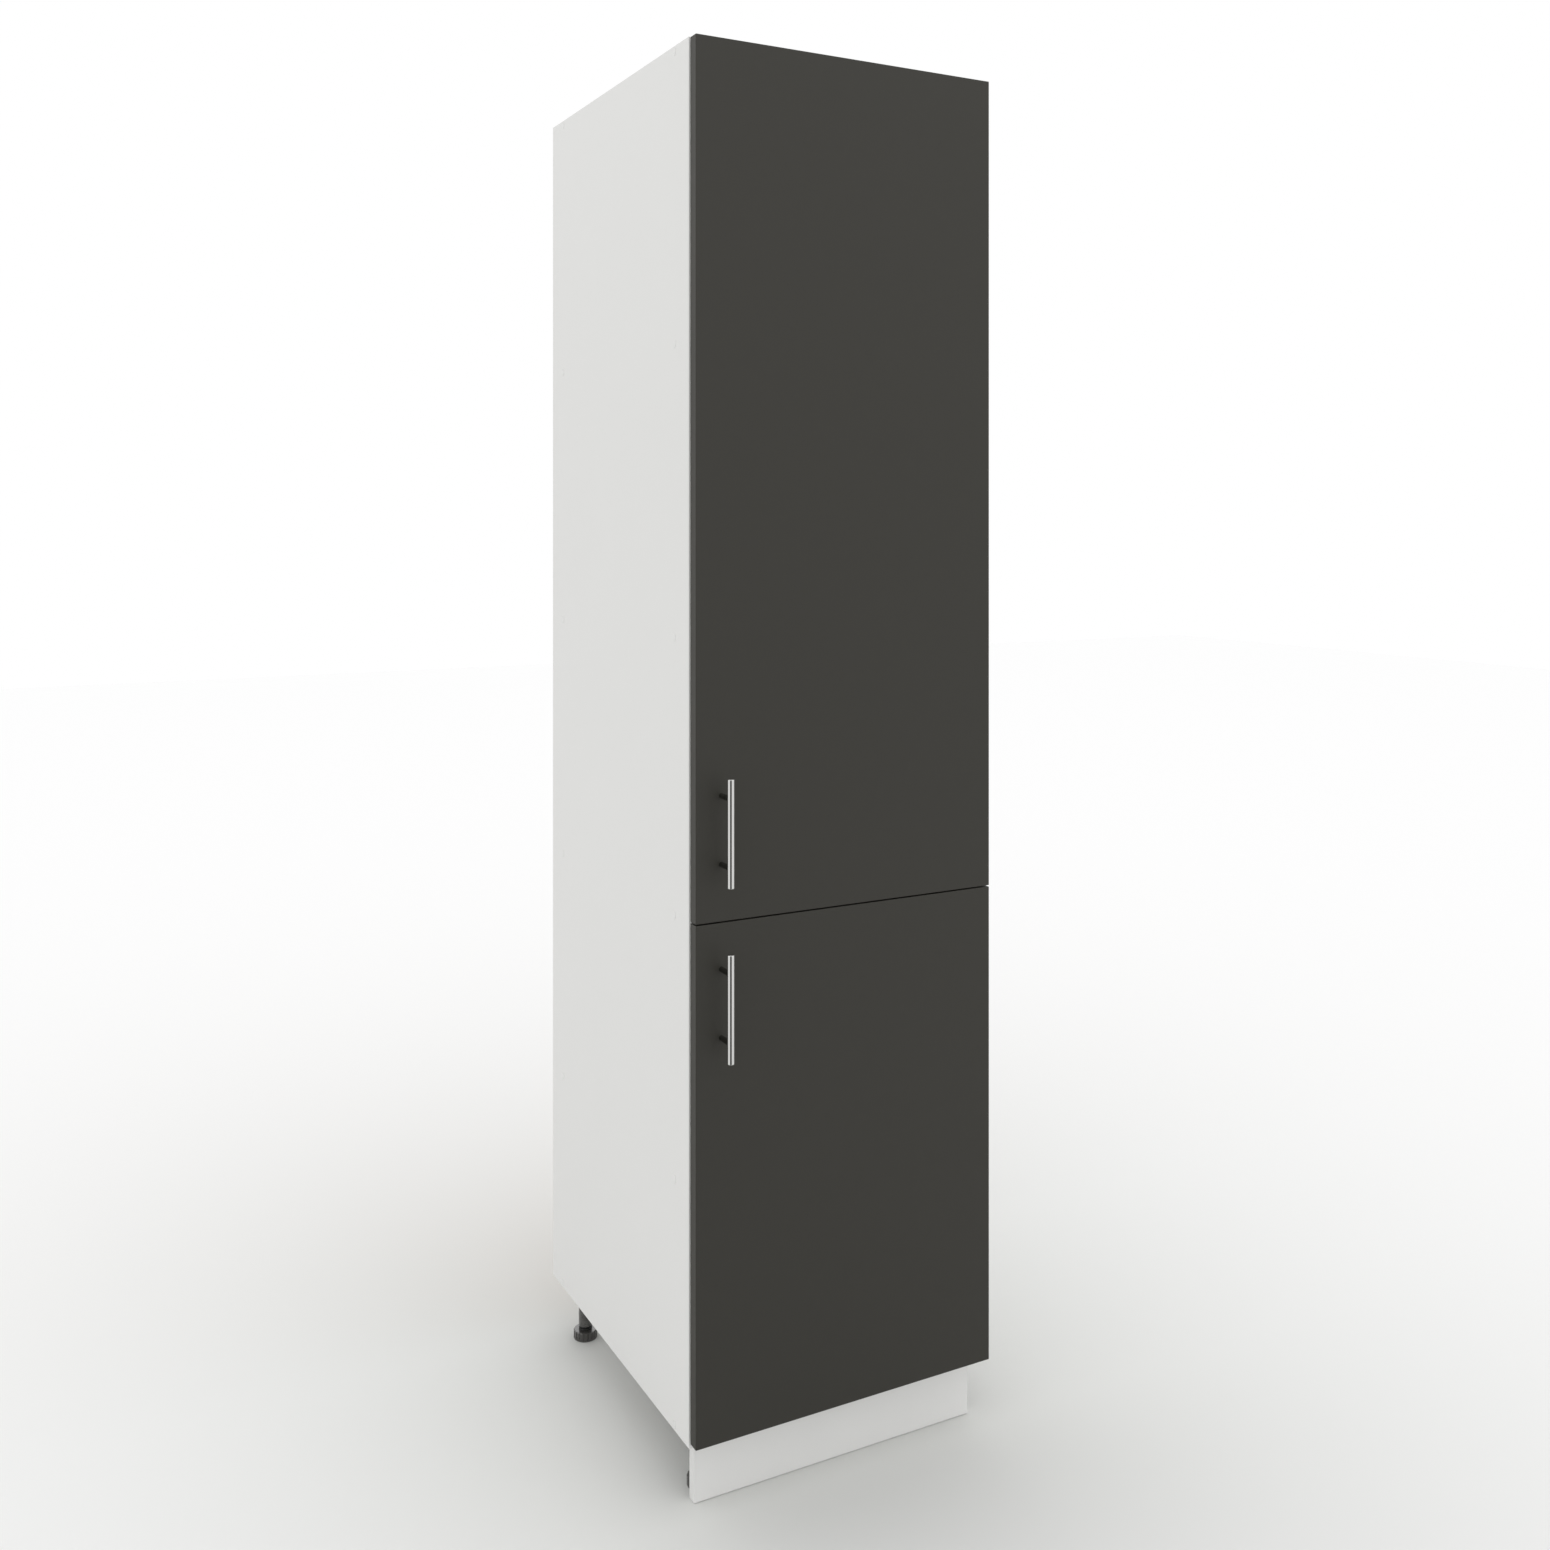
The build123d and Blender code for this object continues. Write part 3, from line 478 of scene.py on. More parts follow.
def dark_laminate(finishes, node):
    """Super matt dark laminate on a door, with a strip of the same colour round its edges. The
    nearest edge lies at the least of half the door's size minus the distance from its middle."""
    material, tree, principled, place = new_material(f"{node}_laminate", Specular_IOR_Level=0.3)
    skin = fine_skin(tree, place, pores=3200.0, mottling=4.0)
    reaches = []
    for axis in (ACROSS, UP):
        off = maths(tree, "SUBTRACT", part_of(tree, place["Object"], axis), middle_of(node, axis))
        off = maths(tree, "ABSOLUTE", off)
        reaches.append(maths(tree, "SUBTRACT", size_of(node, axis) / 2, off))
    distance = maths(tree, "MINIMUM", *reaches)
    strip = use_group(tree, "Edge strip", {"Distance": distance, "Thickness": 0.001})
    face = shaded(tree, finishes.dark, skin["Shade"], spread=0.05)
    face = mixed(tree, strip["Strip"], face, rgba(finishes.dark, factor=1.08))
    face = with_seam(tree, face, strip, share=0.5, shade=rgba(finishes.dark, factor=0.5))
    coat(tree, principled, face, scaled(tree, skin["Gloss"], low=0.46, high=0.60))
    bump(tree, principled, skin["Height"], distance=0.00004)
    return material


def fibreboard(finishes):
    """Thin back sheet: bare brown fibres outside, white paint inside."""
    material, tree, principled, place = new_material("back_fibreboard", Specular_IOR_Level=0.3)
    drawn = stretched(tree, place["Object"], (900, 900, 160))
    fibres = noise(tree, drawn, scale=1.0, detail=4, roughness=0.65)
    clouds = noise(tree, place["Object"], scale=12.0, detail=3, roughness=0.6)
    brown = shaded(tree, finishes.fibre, weighed(tree, 0.6, fibres, clouds), spread=0.35)
    white = white_face(tree, place, finishes.white)[0]
    inside = maths(tree, "LESS_THAN", part_of(tree, place["Normal"], BACK), -FACING)
    coat(tree, principled, mixed(tree, inside, brown, white),
         scaled(tree, inside, low=0.72, high=0.5))
    bump(tree, principled, fibres, distance=0.00004)
    return material


def brushed_steel(name, shade, scale):
    """Polished steel with fine lines left by brushing."""
    material, tree, principled, place = new_material(name, Metallic=1.0)
    lines = use_group(tree, "Brushing", {"Vector": place["Object"], "Scale": scale})
    coat(tree, principled, shaded(tree, shade, lines["Shade"], spread=0.05),
         scaled(tree, lines["Shade"], low=0.03, high=0.07))
    bump(tree, principled, lines["Height"], distance=0.000001)
    return material


def plated_metal(name, shade, rough, cloud):
    """Plated steel, with its cloudy tone and hairline scratches."""
    material, tree, principled, place = new_material(name, Metallic=1.0)
    plating = use_group(tree, "Plating", {"Vector": place["Object"], "Cloud": cloud})
    coat(tree, principled, shaded(tree, shade, plating["Shade"], spread=0.12),
         scaled(tree, plating["Gloss"], *rough))
    bump(tree, principled, plating["Height"], distance=0.000006)
    return material


def moulded_plastic(name, shade, rough, gloss=0.0):
    """Moulded plastic with a fine spark-eroded texture, and a clear gloss over it."""
    material, tree, principled, place = new_material(
        name, Specular_IOR_Level=0.55, Coat_Weight=gloss, Coat_Roughness=0.12)
    skin = fine_skin(tree, place, pores=1800.0, mottling=60.0)
    coat(tree, principled, shaded(tree, shade, skin["Shade"], spread=0.10),
         scaled(tree, skin["Gloss"], low=rough - 0.06, high=rough + 0.08))
    bump(tree, principled, skin["Height"], distance=0.00003)
    return material


def clear_bumper(finishes):
    """Soft, nearly clear pad."""
    material, tree, principled, place = new_material(
        "bumper_clear", Transmission_Weight=0.6, IOR=1.45, Base_Color=rgba(finishes.bumper_clear))
    skin = fine_skin(tree, place, pores=900.0, mottling=80.0)
    tree.links.new(scaled(tree, skin["Gloss"], low=0.2, high=0.4), principled.inputs["Roughness"])
    bump(tree, principled, skin["Height"], distance=0.00002)
    return material


def beech(finishes):
    """Beech with short flecks along the dowels, which lie along X."""
    material, tree, principled, place = new_material("dowel_beech", Specular_IOR_Level=0.3)
    drawn = stretched(tree, place["Object"], (120, 2200, 2200))
    grain = noise(tree, drawn, scale=1.0, detail=4, roughness=0.6)
    coat(tree, principled, shaded(tree, finishes.beech, grain, spread=0.3),
         scaled(tree, grain, low=0.5, high=0.7))
    bump(tree, principled, grain, distance=0.00005)
    return material


def finish_nodes(material, *nodes):
    """Gives CAD nodes their material."""
    for name in nodes:
        mesh = frame["nodes"][name].data
        mesh.materials.clear()
        mesh.materials.append(material)


# Surfaces

def grid_faces(rows, columns):
    """Quads between neighbouring rows of a grid whose columns close into a ring."""
    row = np.arange(rows - 1)[:, None] * columns
    column = np.arange(columns)[None, :]
    beside = (column + 1) % columns
    quads = [row + column, row + beside, row + columns + beside, row + columns + column]
    return np.stack(quads, axis=-1).reshape(-1, 4)


def full_turn(count):
    """Angles of so many equal steps round a full turn."""
    return np.linspace(0, 2 * np.pi, count, endpoint=False)


def turned(profile, count):
    """Points of a profile turned about Z: (radius cos a, radius sin a, height) for each angle a."""
    profile = np.asarray(profile, float)
    angle = full_turn(count)
    radius, height = profile[:, :1], profile[:, 1:]
    return np.stack([radius * np.cos(angle), radius * np.sin(angle), height + 0 * angle], axis=-1)


def rounded(corner, radius, start, end, steps=5):
    """Arc of (radius, height) points round a corner's centre, between two angles in degrees."""
    angle = np.radians(np.linspace(start, end, steps))[:, None]
    return np.asarray(corner) + radius * np.hstack([np.cos(angle), np.sin(angle)])


def threaded(radius_of, depth, pitch, bottom, top, rows_per_turn, count):
    """Helical thread about Z: the radius at (angle, height) is the outer radius at that height,
    less the depth times a triangle wave of (height / pitch - angle / one turn)."""
    rows = int((top - bottom) / pitch * rows_per_turn) + 1
    height = np.linspace(bottom, top, rows)[:, None]
    angle = full_turn(count)[None, :]
    phase = (height / pitch - angle / (2 * np.pi)) % 1
    radius = radius_of(height) - depth * np.abs(2 * phase - 1)
    return np.stack([radius * np.cos(angle), radius * np.sin(angle), height + 0 * angle], axis=-1)


def capped(rings):
    """Closes a tube of rings with a point in the middle of each end."""
    first = np.broadcast_to(rings[0].mean(axis=0), rings[0].shape)
    last = np.broadcast_to(rings[-1].mean(axis=0), rings[-1].shape)
    return np.concatenate([first[None], rings, last[None]])


def turned_to(points, axis):
    """Points made along +Z, laid along another axis given as a sign and 0, 1 or 2."""
    sign, index = axis
    along = points[..., 2] * sign
    side, up = points[..., 0], points[..., 1] * sign
    order = {ACROSS: (along, side, up), BACK: (up, along, side), UP: (side, up, along)}[index]
    return np.stack(order, axis=-1)


def make_piece(name, surfaces, material, body, replaced):
    """Joins ring-shaped grids of points into one closed mesh, and puts it on a body."""
    points = np.concatenate([s.reshape(-1, 3) for s in surfaces])
    first = np.cumsum([0] + [s.shape[0] * s.shape[1] for s in surfaces[:-1]])
    faces = np.concatenate([grid_faces(*s.shape[:2]) + n for s, n in zip(surfaces, first)])
    mesh = bpy.data.meshes.new(name)
    mesh.from_pydata(points.tolist(), [], faces.tolist())
    work = bmesh.new()
    work.from_mesh(mesh)
    bmesh.ops.remove_doubles(work, verts=work.verts, dist=SAME_POINT)
    bmesh.ops.dissolve_degenerate(work, edges=work.edges, dist=NO_EDGE)
    bmesh.ops.recalc_face_normals(work, faces=work.faces)
    work.to_mesh(mesh)
    work.free()
    mesh.shade_smooth()
    mesh.set_sharp_from_angle(angle=SHARP_ANGLE)
    mesh.materials.append(material)
    piece = bpy.data.objects.new(name, mesh)
    bpy.context.scene.collection.objects.link(piece)
    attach(piece, body)
    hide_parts(*replaced)


def body_with(node):
    """Name of the body that a CAD node belongs to."""
    bodies = frame["record"]["behaviour"]["bodies"]
    return next(name for name, nodes in bodies.items() if node in nodes)


def solid_boxes(node):
    """Lowest and highest corners of each separate solid in a CAD node. Points that share a place,
    to a micrometre, get one label; labels spread along the triangles to the lowest."""
    mesh = frame["nodes"][node].data
    places = np.empty(len(mesh.vertices) * 3)
    mesh.vertices.foreach_get("co", places)
    places = places.reshape(-1, 3)
    corners = np.empty(len(mesh.loops), int)
    mesh.loops.foreach_get("vertex_index", corners)
    _, spot = np.unique(places.round(6), axis=0, return_inverse=True)
    triangles = spot.ravel()[corners].reshape(-1, 3)
    label = np.arange(spot.max() + 1)
    settled = False
    while not settled:
        before = label.copy()
        lowest = label[triangles].min(axis=1)
        np.minimum.at(label, triangles.ravel(), np.repeat(lowest, 3))
        label = label[label]
        settled = np.array_equal(before, label)
    owner = label[spot.ravel()]
    solids = [places[owner == number] for number in np.unique(owner)]
    return [(solid.min(axis=0), solid.max(axis=0)) for solid in solids]


# Pieces

class PANTRY_OT_boards(bpy.types.Operator):
    """Finishes the carcass boards, the dowels between them and the caps over their screws"""

    bl_idname = "pantry.boards"
    bl_label = "Boards"

    def execute(self, context):
        finishes = context.scene.pantry_finishes
        for name in BOARDS:
            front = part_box(name)[0].y
            finish_nodes(white_laminate(finishes, f"{name}_laminate", front, BACK), name)
        finish_nodes(beech(finishes), "dowels")
        caps = moulded_plastic("cap_plastic", finishes.cap_white, rough=0.42)
        finish_nodes(caps, "screw_caps_left", "screw_caps_right")
        return {"FINISHED"}


class PANTRY_OT_back(bpy.types.Operator):
    """Finishes the back sheets and the wall brackets"""

    bl_idname = "pantry.back"
    bl_label = "Back"

    def execute(self, context):
        finishes = context.scene.pantry_finishes
        finish_nodes(fibreboard(finishes), "back_panel_upper", "back_panel_lower")
        zinc = plated_metal("bracket_zinc", finishes.zinc, rough=(0.3, 0.48), cloud=220.0)
        finish_nodes(zinc, "wall_brackets")
        return {"FINISHED"}


class PANTRY_OT_doors(bpy.types.Operator):
    """Finishes both doors and their bumpers"""

    bl_idname = "pantry.doors"
    bl_label = "Doors"

    def execute(self, context):
        finishes = context.scene.pantry_finishes
        pads = clear_bumper(finishes)
        for level in LEVELS:
            finish_nodes(dark_laminate(finishes, f"{level}_door"), f"{level}_door")
            finish_nodes(pads, f"{level}_door_bumpers")
        return {"FINISHED"}


def axis_place(node):
    """Where a CAD node's upright axis meets the floor."""
    return np.array([middle_of(node, ACROSS), middle_of(node, BACK), 0])


def bar_surface(node, sizes):
    """Upright round bar: a profile with rounded ends, turned about the bar's axis."""
    r, edge = sizes.bar_radius, sizes.bar_edge
    low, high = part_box(node)
    profile = np.vstack([
        [(0, low.z)],
        rounded((r - edge, low.z + edge), edge, -90, 0),
        [(r, low.z + 2 * edge), (r, high.z - 2 * edge)],
        rounded((r - edge, high.z - edge), edge, 0, 90),
        [(0, high.z)],
    ])
    return turned(profile, BAR_COUNT) + axis_place(node)


def post_surface(node, bar, sizes):
    """Round post from the door to the bar. Its far end follows the bar's round back: at (x, z)
    from the post's axis it ends where y is the bar's axis plus sqrt(R squared - x squared)."""
    r, edge = sizes.post_radius, sizes.post_edge
    door_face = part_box(node)[1].y
    foot = np.vstack([[(0, 0)], rounded((r - edge, edge), edge, -90, 0)])
    shaft = np.array([(r, 0.5), (r, 1), (0, 1)])
    angle = full_turn(POST_COUNT)
    radius = np.concatenate([foot[:, :1], shaft[:, :1]])
    across, up = radius * np.cos(angle), radius * np.sin(angle)
    bar_back = middle_of(bar, BACK) + np.sqrt(sizes.bar_radius ** 2 - across ** 2)
    way = bar_back[len(foot):] - door_face
    depth = np.concatenate([door_face - foot[:, 1:] + 0 * angle, door_face + way * shaft[:, 1:]])
    return np.stack([across + middle_of(node, ACROSS), depth, up + middle_of(node, UP)], axis=-1)


class PANTRY_OT_handles(bpy.types.Operator):
    """Makes the bar handles: an upright bar on two posts on each door"""

    bl_idname = "pantry.handles"
    bl_label = "Handles"

    def execute(self, context):
        sizes = context.scene.pantry_handles
        finishes = context.scene.pantry_finishes
        bar_steel = brushed_steel("bar_steel", finishes.steel, scale=(9000, 9000, 120))
        # The posts' darker steel is painted shade: the same brushed steel as the bars, made darker
        post_steel = brushed_steel("post_steel", finishes.shaded_post_steel, scale=(700, 9000, 700))
        for level in LEVELS:
            bar = f"{level}_handle_bar"
            body = body_with(bar)
            make_piece(f"{level}_bar", [bar_surface(bar, sizes)], bar_steel, body,
                       [bar])
            for end in ("top", "bottom"):
                post = f"{level}_handle_post_{end}"
                make_piece(f"{level}_post_{end}", [post_surface(post, bar, sizes)], post_steel,
                           body, [post])
        return {"FINISHED"}


class PANTRY_OT_hinges(bpy.types.Operator):
    """Finishes the concealed hinges"""

    bl_idname = "pantry.hinges"
    bl_label = "Hinges"

    def execute(self, context):
        finishes = context.scene.pantry_finishes
        nickel = plated_metal("hinge_nickel", finishes.nickel, rough=(0.18, 0.32), cloud=120.0)
        for level in LEVELS:
            for part in ("cups", "arms", "plates", "links", "pins"):
                finish_nodes(nickel, f"{level}_hinge_{part}")
        zinc = plated_metal("arm_screw_zinc", finishes.zinc, rough=(0.25, 0.4), cloud=300.0)
        finish_nodes(zinc, "hinge_arm_screws")
        return {"FINISHED"}


def foot_disc(sizes):
    """Notched disc of a foot, about Z. Its radius is the smaller of its profile's and the rim's,
    which is the disc's radius less the depth of the nearest round notch: sqrt(notch radius
    squared - distance along the rim squared)."""
    r, edge = sizes.radius, sizes.edge
    plain_rows = np.vstack([
        [(0, 0)],
        rounded((r - edge / 2, edge / 2), edge / 2, -90, 0),
        [(r, sizes.base)],
    ])
    notched_rows = np.vstack([
        [(r, sizes.base)],
        rounded((r - edge, sizes.height - edge), edge, 0, 90),
        [(r - 1.5 * edge, sizes.height), (0, sizes.height)],
    ])
    angle = full_turn(sizes.notches * NOTCH_COUNT)
    turn = 2 * np.pi / sizes.notches
    along = r * ((angle + turn / 2) % turn - turn / 2)
    rim = r - np.sqrt(np.clip(sizes.notch_radius ** 2 - along ** 2, 0, None))
    radius = np.concatenate([plain_rows[:, :1] + 0 * angle, np.minimum(notched_rows[:, :1], rim)])
    height = np.concatenate([plain_rows, notched_rows])[:, 1:] + 0 * angle
    return np.stack([radius * np.cos(angle), radius * np.sin(angle), height], axis=-1)


def stud_surfaces(sizes, top):
    """Flange of a foot's stud, a turned profile about Z, and the stud's thread from there up."""
    r, high = sizes.flange_radius, sizes.height + sizes.flange_height
    edge = sizes.flange_height / 8
    flange = np.vstack([
        [(0, sizes.height), (r, sizes.height)],
        rounded((r - edge, high - edge), edge, 0, 90),
        [(0, high)],
    ])
    thread = threaded(lambda height: sizes.stud_radius + 0 * height, sizes.thread_depth,
                      sizes.pitch, high - sizes.pitch, top, STUD_ROWS, STUD_COUNT)
    return [turned(flange, FLANGE_COUNT), capped(thread)]


class PANTRY_OT_legs(bpy.types.Operator):
    """Makes the feet with their threaded studs, and finishes the leg tubes and sockets"""

    bl_idname = "pantry.legs"
    bl_label = "Legs"

    def execute(self, context):
        sizes = context.scene.pantry_feet
        finishes = context.scene.pantry_finishes
        plastic = moulded_plastic("leg_plastic", finishes.leg_black, rough=0.27, gloss=0.7)
        # Near-black stud plastic: painted shade for the dark gap under each tube
        shaded_stud_plastic = moulded_plastic("shaded_stud_plastic", finishes.stud_painted_shade, rough=0.6)
        for leg in LEGS:
            node = f"foot_{leg}"
            body = body_with(node)
            place = axis_place(node) + np.array([0, 0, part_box(node)[0].z])
            make_piece(f"levelling_foot_{leg}", [foot_disc(sizes) + place], plastic, body,
                       [node])
            stud = [surface + place for surface in stud_surfaces(sizes, size_of(node, UP))]
            make_piece(f"levelling_stud_{leg}", stud, shaded_stud_plastic, body, [node])
            finish_nodes(plastic, f"leg_tube_{leg}", f"leg_socket_{leg}")
        return {"FINISHED"}


class PANTRY_OT_plinth(bpy.types.Operator):
    """Finishes the plinth board and its clips"""

    bl_idname = "pantry.plinth"
    bl_label = "Plinth"

    def execute(self, context):
        finishes = context.scene.pantry_finishes
        # This board has no edge strip, so the strip's distance lies a metre in front of it
        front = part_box("plinth_board")[0].y - 1
        finish_nodes(white_laminate(finishes, "plinth_laminate", front, UP), "plinth_board")
        clips = moulded_plastic("clip_plastic", finishes.clip_grey, rough=0.45)
        finish_nodes(clips, "plinth_clip_left", "plinth_clip_right")
        return {"FINISHED"}


def screw_head(sizes, radius):
    """Countersunk head about Z, its flat face at 0 and its cone above. The face's height is the
    recess depth where the larger of the two arms' masks is 1; a mask falls from 1 to 0 across
    the wall of an arm, and the depth lessens towards the arm's end."""
    reach, half = sizes.recess_reach, sizes.recess_width / 2
    wall, edge = sizes.recess_width / 4, radius * 0.03
    rings = np.linspace(0, reach * 1.1, RECESS_RINGS)
    distance = np.concatenate([rings, [radius - edge]])[:, None]
    angle = full_turn(HEAD_COUNT)
    x, y = np.abs(distance * np.cos(angle)), np.abs(distance * np.sin(angle))
    arm_x = np.clip((half - y) / wall + 0.5, 0, 1) * np.clip((reach - x) / wall, 0, 1)
    arm_y = np.clip((half - x) / wall + 0.5, 0, 1) * np.clip((reach - y) / wall, 0, 1)
    taper = np.clip(1 - 0.6 * distance / reach, 0, 1)
    depth = sizes.recess_depth * np.maximum(arm_x, arm_y) * taper
    face = np.stack([distance * np.cos(angle), distance * np.sin(angle), depth], axis=-1)
    cone = [(radius, edge), (sizes.shank_radius * 0.8, sizes.head_height), (0, sizes.head_height)]
    return np.concatenate([face, turned(cone, HEAD_COUNT)])


def screw_surfaces(sizes, radius, reach):
    """Head and threaded shank of a wood screw of a given head radius and length. The shank's
    radius falls evenly along its point, to 0.3 of itself."""
    def outer(height):
        return sizes.shank_radius * np.clip((reach - height) / sizes.point, 0.3, 1)
    shank = threaded(outer, sizes.thread_depth, sizes.pitch, sizes.head_height * 0.9, reach,
                     SHANK_ROWS, SHANK_COUNT)
    return [screw_head(sizes, radius), capped(shank)]


# Which way each group's screws point, as a sign and an axis
WOOD_SCREWS = {
    "hinge_plate_screws": (1, ACROSS),
    "upper_hinge_cup_screws": (-1, BACK),
    "lower_hinge_cup_screws": (-1, BACK),
    "plinth_clip_screws": (-1, BACK),
    "wall_bracket_screws": (1, UP),
    "leg_socket_screws": (1, UP),
}


class PANTRY_OT_screws(bpy.types.Operator):
    """Makes the wood screws with their cross recesses, and finishes the other fasteners"""

    bl_idname = "pantry.screws"
    bl_label = "Screws"

    def execute(self, context):
        sizes = context.scene.pantry_screws
        zinc = plated_metal("screw_zinc", context.scene.pantry_finishes.zinc,
                            rough=(0.26, 0.42), cloud=260.0)
        finish_nodes(zinc, "back_panel_nails", "carcass_screws", "upper_handle_screws",
                     "lower_handle_screws")
        for node, (sign, axis) in WOOD_SCREWS.items():
            surfaces = []
            for low, high in solid_boxes(node):
                middle = (low + high) / 2
                middle[axis] = (low if sign > 0 else high)[axis]
                radius = (high - low)[(axis + 1) % 3] / 2
                made = screw_surfaces(sizes, radius, high[axis] - low[axis])
                surfaces += [turned_to(surface, (sign, axis)) + middle for surface in made]
            make_piece(node.replace("screws", "screw_set"), surfaces, zinc, body_with(node),
                       [node])
        return {"FINISHED"}


# Stage

def seen(tree):
    """One where the camera, metal or glass sees a surface, and zero where it only throws light."""
    path = add(tree, "ShaderNodeLightPath").outputs
    either = maths(tree, "MAXIMUM", path["Is Camera Ray"], path["Is Glossy Ray"])
    return maths(tree, "MAXIMUM", either, path["Is Transmission Ray"])


def floor_material(stage):
    """Floor with a painted shadow round the cabinet. For camera, gloss and glass its colour fades
    from the near colour as e to the minus distance from the cabinet over the reach. Light that
    bounces off it always takes the far colour.
    """
    material, tree, principled, place = new_material("floor", Specular_IOR_Level=0.0,
                                                     Roughness=0.9)
    board = "bottom_panel"
    middle = (middle_of(board, ACROSS), middle_of(board, BACK), 0)
    half = (size_of(board, ACROSS) / 2, size_of(board, BACK) / 2, 0)
    away = vector_maths(tree, "SUBTRACT", place["Object"], middle)
    away = vector_maths(tree, "SUBTRACT", vector_maths(tree, "ABSOLUTE", away), half)
    away = vector_maths(tree, "MAXIMUM", away, (0, 0, 0))
    distance = add(tree, "ShaderNodeVectorMath", {0: away}, operation="LENGTH").outputs["Value"]
    # Painted shadow: near the cabinet, what camera, gloss and glass see fades towards the near
    # colour
    near = maths(tree, "EXPONENT", maths(tree, "DIVIDE", distance, -stage.painted_shadow_reach))
    shade = mixed(tree, near, rgba(stage.floor_far), rgba(stage.floor_painted_shadow))
    # Only seen rays get the painted shadow. Light that bounces off the floor takes the plain far
    # colour.
    shade = mixed(tree, seen(tree), rgba(stage.floor_far), shade)
    tree.links.new(shade, principled.inputs["Base Color"])
    return material


def stage_plane(name, corners, material):
    """A flat four-cornered part of the stage."""
    mesh = bpy.data.meshes.new(name)
    mesh.from_pydata(corners, [], [(0, 1, 2, 3)])
    mesh.materials.append(material)
    plane = bpy.data.objects.new(name, mesh)
    bpy.context.scene.collection.objects.link(plane)
    return plane


def studio_world(stage):
    """Even white light all round, seen as plain white behind and in the cabinet's metal. What gloss
    mirrors grows brighter upwards from just above the horizon: a painted sheen, brightness that
    only reflections see and that lights nothing."""
    world = bpy.data.worlds.new("studio")
    world.use_nodes = True
    tree = world.node_tree
    background = tree.nodes["Background"].inputs
    background["Color"].default_value = (1, 1, 1, 1)
    glossy = add(tree, "ShaderNodeLightPath").outputs["Is Glossy Ray"]
    up = part_of(tree, add(tree, "ShaderNodeTexCoord").outputs["Generated"], UP)
    rise = scaled(tree, up, 0, stage.overhead, start=RISE_START, end=RISE_END)
    strength = scaled(tree, seen(tree), stage.sky, 1.0)
    strength = maths(tree, "ADD", strength, maths(tree, "MULTIPLY", glossy, rise))
    tree.links.new(strength, background["Strength"])
    return world


def place_card(stage):
    """Stands an upright dark card between the handles and the camera, which only gloss shows. It is
    a painted reflection: the dark line that the bars mirror.
    """
    bar = axis_place("upper_handle_bar")
    back = (np.array(stage.camera_place) - bar) * (1, 1, 0)
    back /= np.linalg.norm(back)
    side = np.array([back[1], -back[0], 0]) * stage.card_half
    foot, top = bar + back * stage.card_away, np.array([0, 0, stage.card_top])
    corners = [foot - side, foot + side, foot + side + top, foot - side + top]
    dark = new_material("dark_card", Base_Color=rgba(CARD_COLOUR), Roughness=0.9)[0]
    card = stage_plane("dark_card", [corner.tolist() for corner in corners], dark)
    card.visible_camera = card.visible_diffuse = card.visible_shadow = False
    card.visible_transmission = False


def place_lamp(stage):
    """Hangs the soft lamp."""
    lamp = bpy.data.lights.new("soft_lamp", "AREA")
    lamp.shape, lamp.size, lamp.size_y = "RECTANGLE", LAMP_SIDE, LAMP_SIDE
    lamp.energy = stage.lamp
    holder = bpy.data.objects.new("soft_lamp", lamp)
    holder.location = LAMP_PLACE
    holder.rotation_euler = (LAMP_TILT, 0, 0)
    bpy.context.scene.collection.objects.link(holder)


def place_camera(stage):
    """Stands the level camera, with its picture shifted so that the horizon has its height."""
    data = bpy.data.cameras.new("camera")
    data.sensor_width = SENSOR_WIDTH
    data.lens = SENSOR_WIDTH * stage.focal_pixels / stage.picture_pixels
    data.shift_y = -(stage.picture_pixels / 2 - stage.horizon_pixels) / stage.picture_pixels
    data.clip_end = VIEW_REACH
    camera = bpy.data.objects.new("camera", data)
    camera.location = stage.camera_place
    camera.rotation_euler = (math.pi / 2, 0, -stage.camera_turn)
    bpy.context.scene.collection.objects.link(camera)
    bpy.context.scene.camera = camera


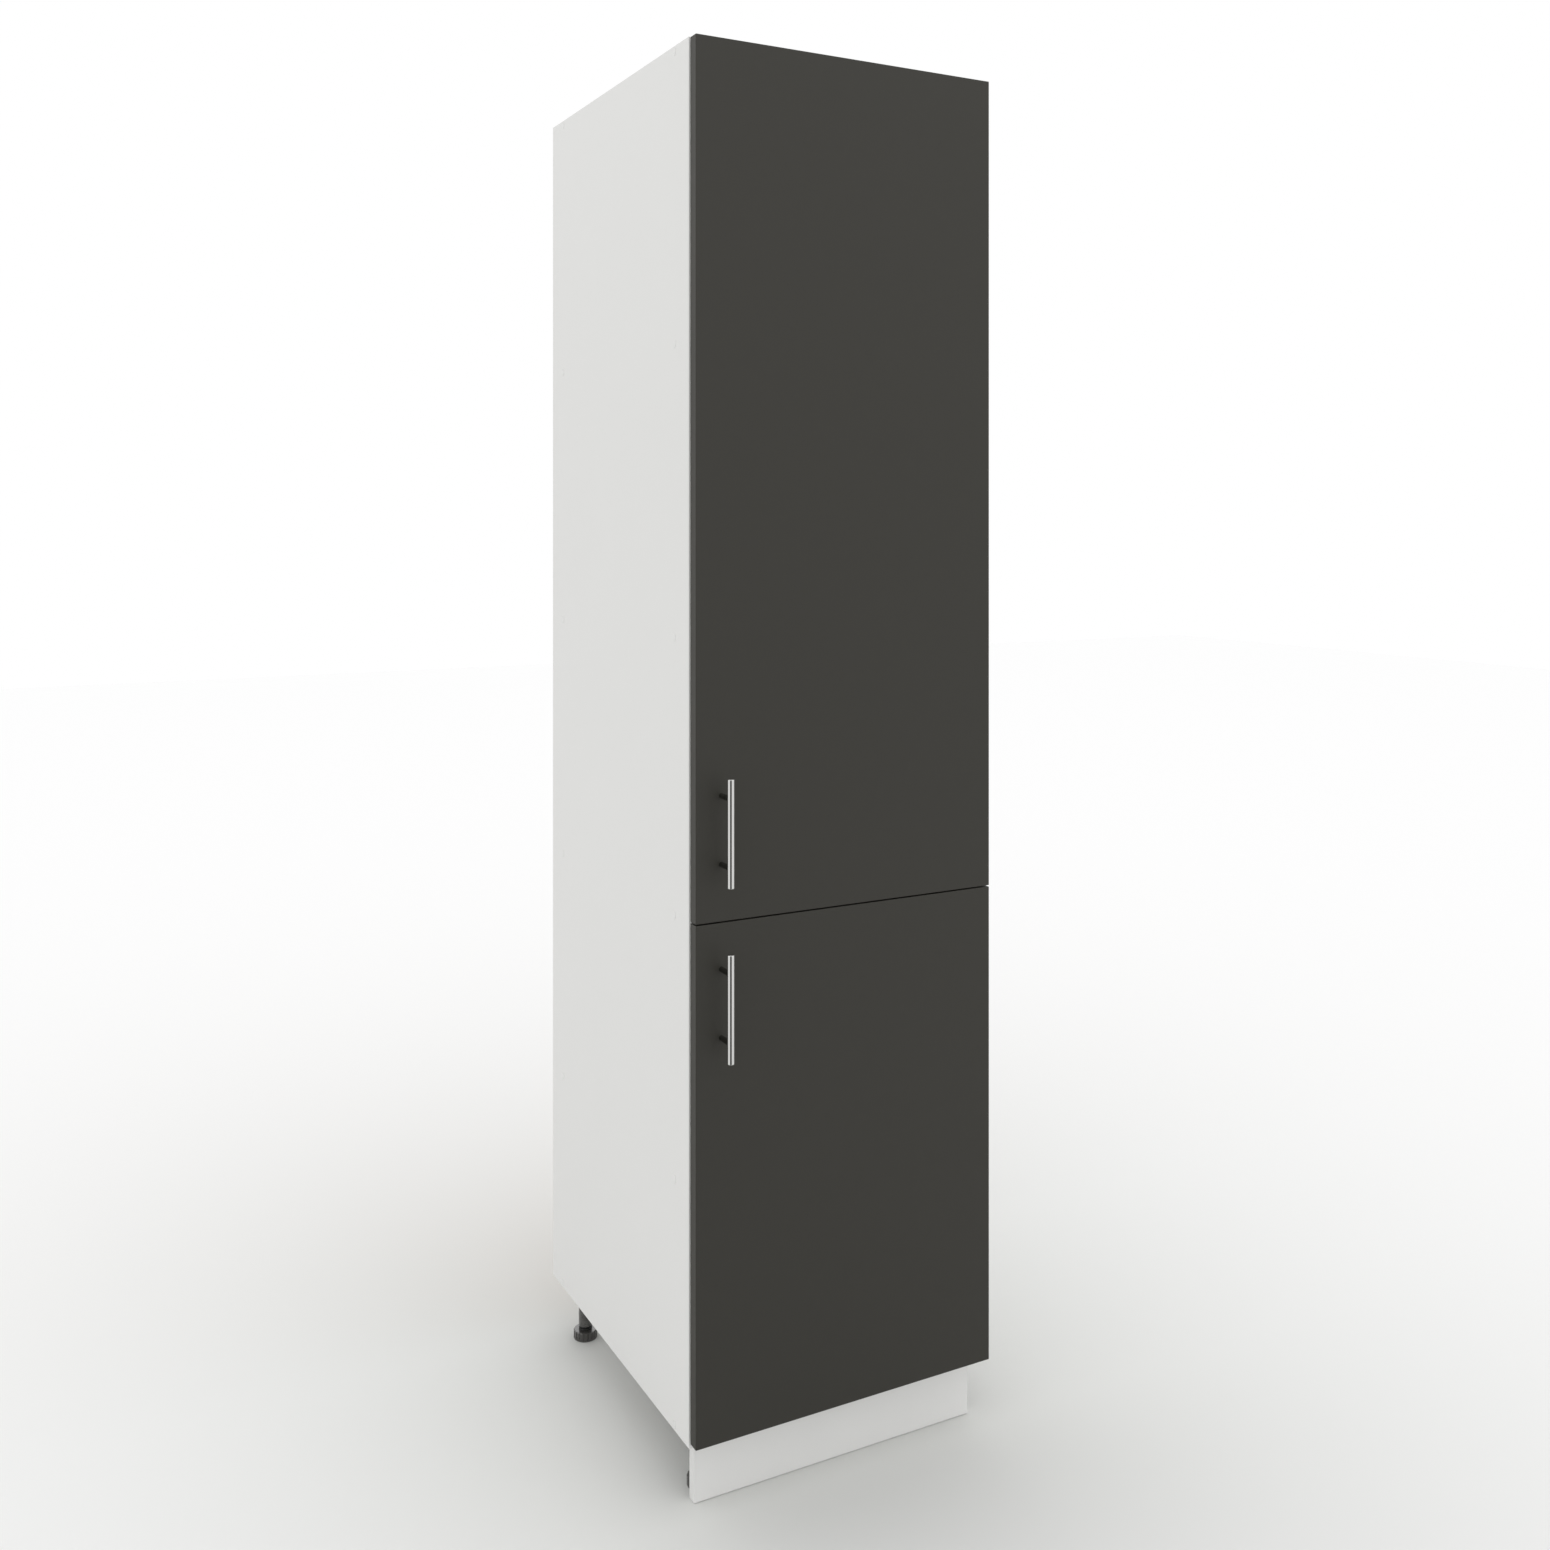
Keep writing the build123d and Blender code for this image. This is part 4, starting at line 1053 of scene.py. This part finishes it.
class PANTRY_OT_stage(bpy.types.Operator):
    """Lays the floor and the dark card for the handles, and sets the light and the camera"""

    bl_idname = "pantry.stage"
    bl_label = "Stage"

    def execute(self, context):
        stage = context.scene.pantry_stage
        half = stage.floor_half
        stage_plane("floor", [(-half, -half, 0), (half, -half, 0), (half, half, 0),
                              (-half, half, 0)], floor_material(stage))
        place_card(stage)
        context.scene.world = studio_world(stage)
        place_lamp(stage)
        place_camera(stage)
        context.scene.view_settings.view_transform = "Standard"
        return {"FINISHED"}


# Add-on

OPERATORS = (
    PANTRY_OT_boards, PANTRY_OT_back, PANTRY_OT_doors, PANTRY_OT_handles, PANTRY_OT_hinges,
    PANTRY_OT_legs, PANTRY_OT_plinth, PANTRY_OT_screws, PANTRY_OT_stage,
)
SETTINGS = {
    "pantry_finishes": PantryFinishes,
    "pantry_handles": PantryHandles,
    "pantry_feet": PantryFeet,
    "pantry_screws": PantryScrews,
    "pantry_stage": PantryStage,
}


class PANTRY_PT_panel(bpy.types.Panel):
    """Lists the cabinet's sizes, colours and operators"""

    bl_label = "Pantry cabinet"
    bl_space_type = "VIEW_3D"
    bl_region_type = "UI"
    bl_category = "Cabinet"

    def draw(self, context):
        for name, group in SETTINGS.items():
            box = self.layout.box()
            box.label(text=group.__doc__)
            for key in group.__annotations__:
                box.prop(getattr(context.scene, name), key)
        for operator in OPERATORS:
            self.layout.operator(operator.bl_idname)


def register():
    """Registers the settings, the operators and the panel."""
    for name, group in SETTINGS.items():
        bpy.utils.register_class(group)
        setattr(bpy.types.Scene, name, PointerProperty(type=group))
    for part in (*OPERATORS, PANTRY_PT_panel):
        bpy.utils.register_class(part)


def unregister():
    """Takes the panel, the operators and the settings out again."""
    for part in reversed((*OPERATORS, PANTRY_PT_panel)):
        bpy.utils.unregister_class(part)
    for name, group in SETTINGS.items():
        delattr(bpy.types.Scene, name)
        bpy.utils.unregister_class(group)


def main():
    """Makes every piece and the stage."""
    register()
    for operator in OPERATORS:
        category, name = operator.bl_idname.split(".")
        getattr(getattr(bpy.ops, category), name)()


if __name__ == "__main__":
    main()
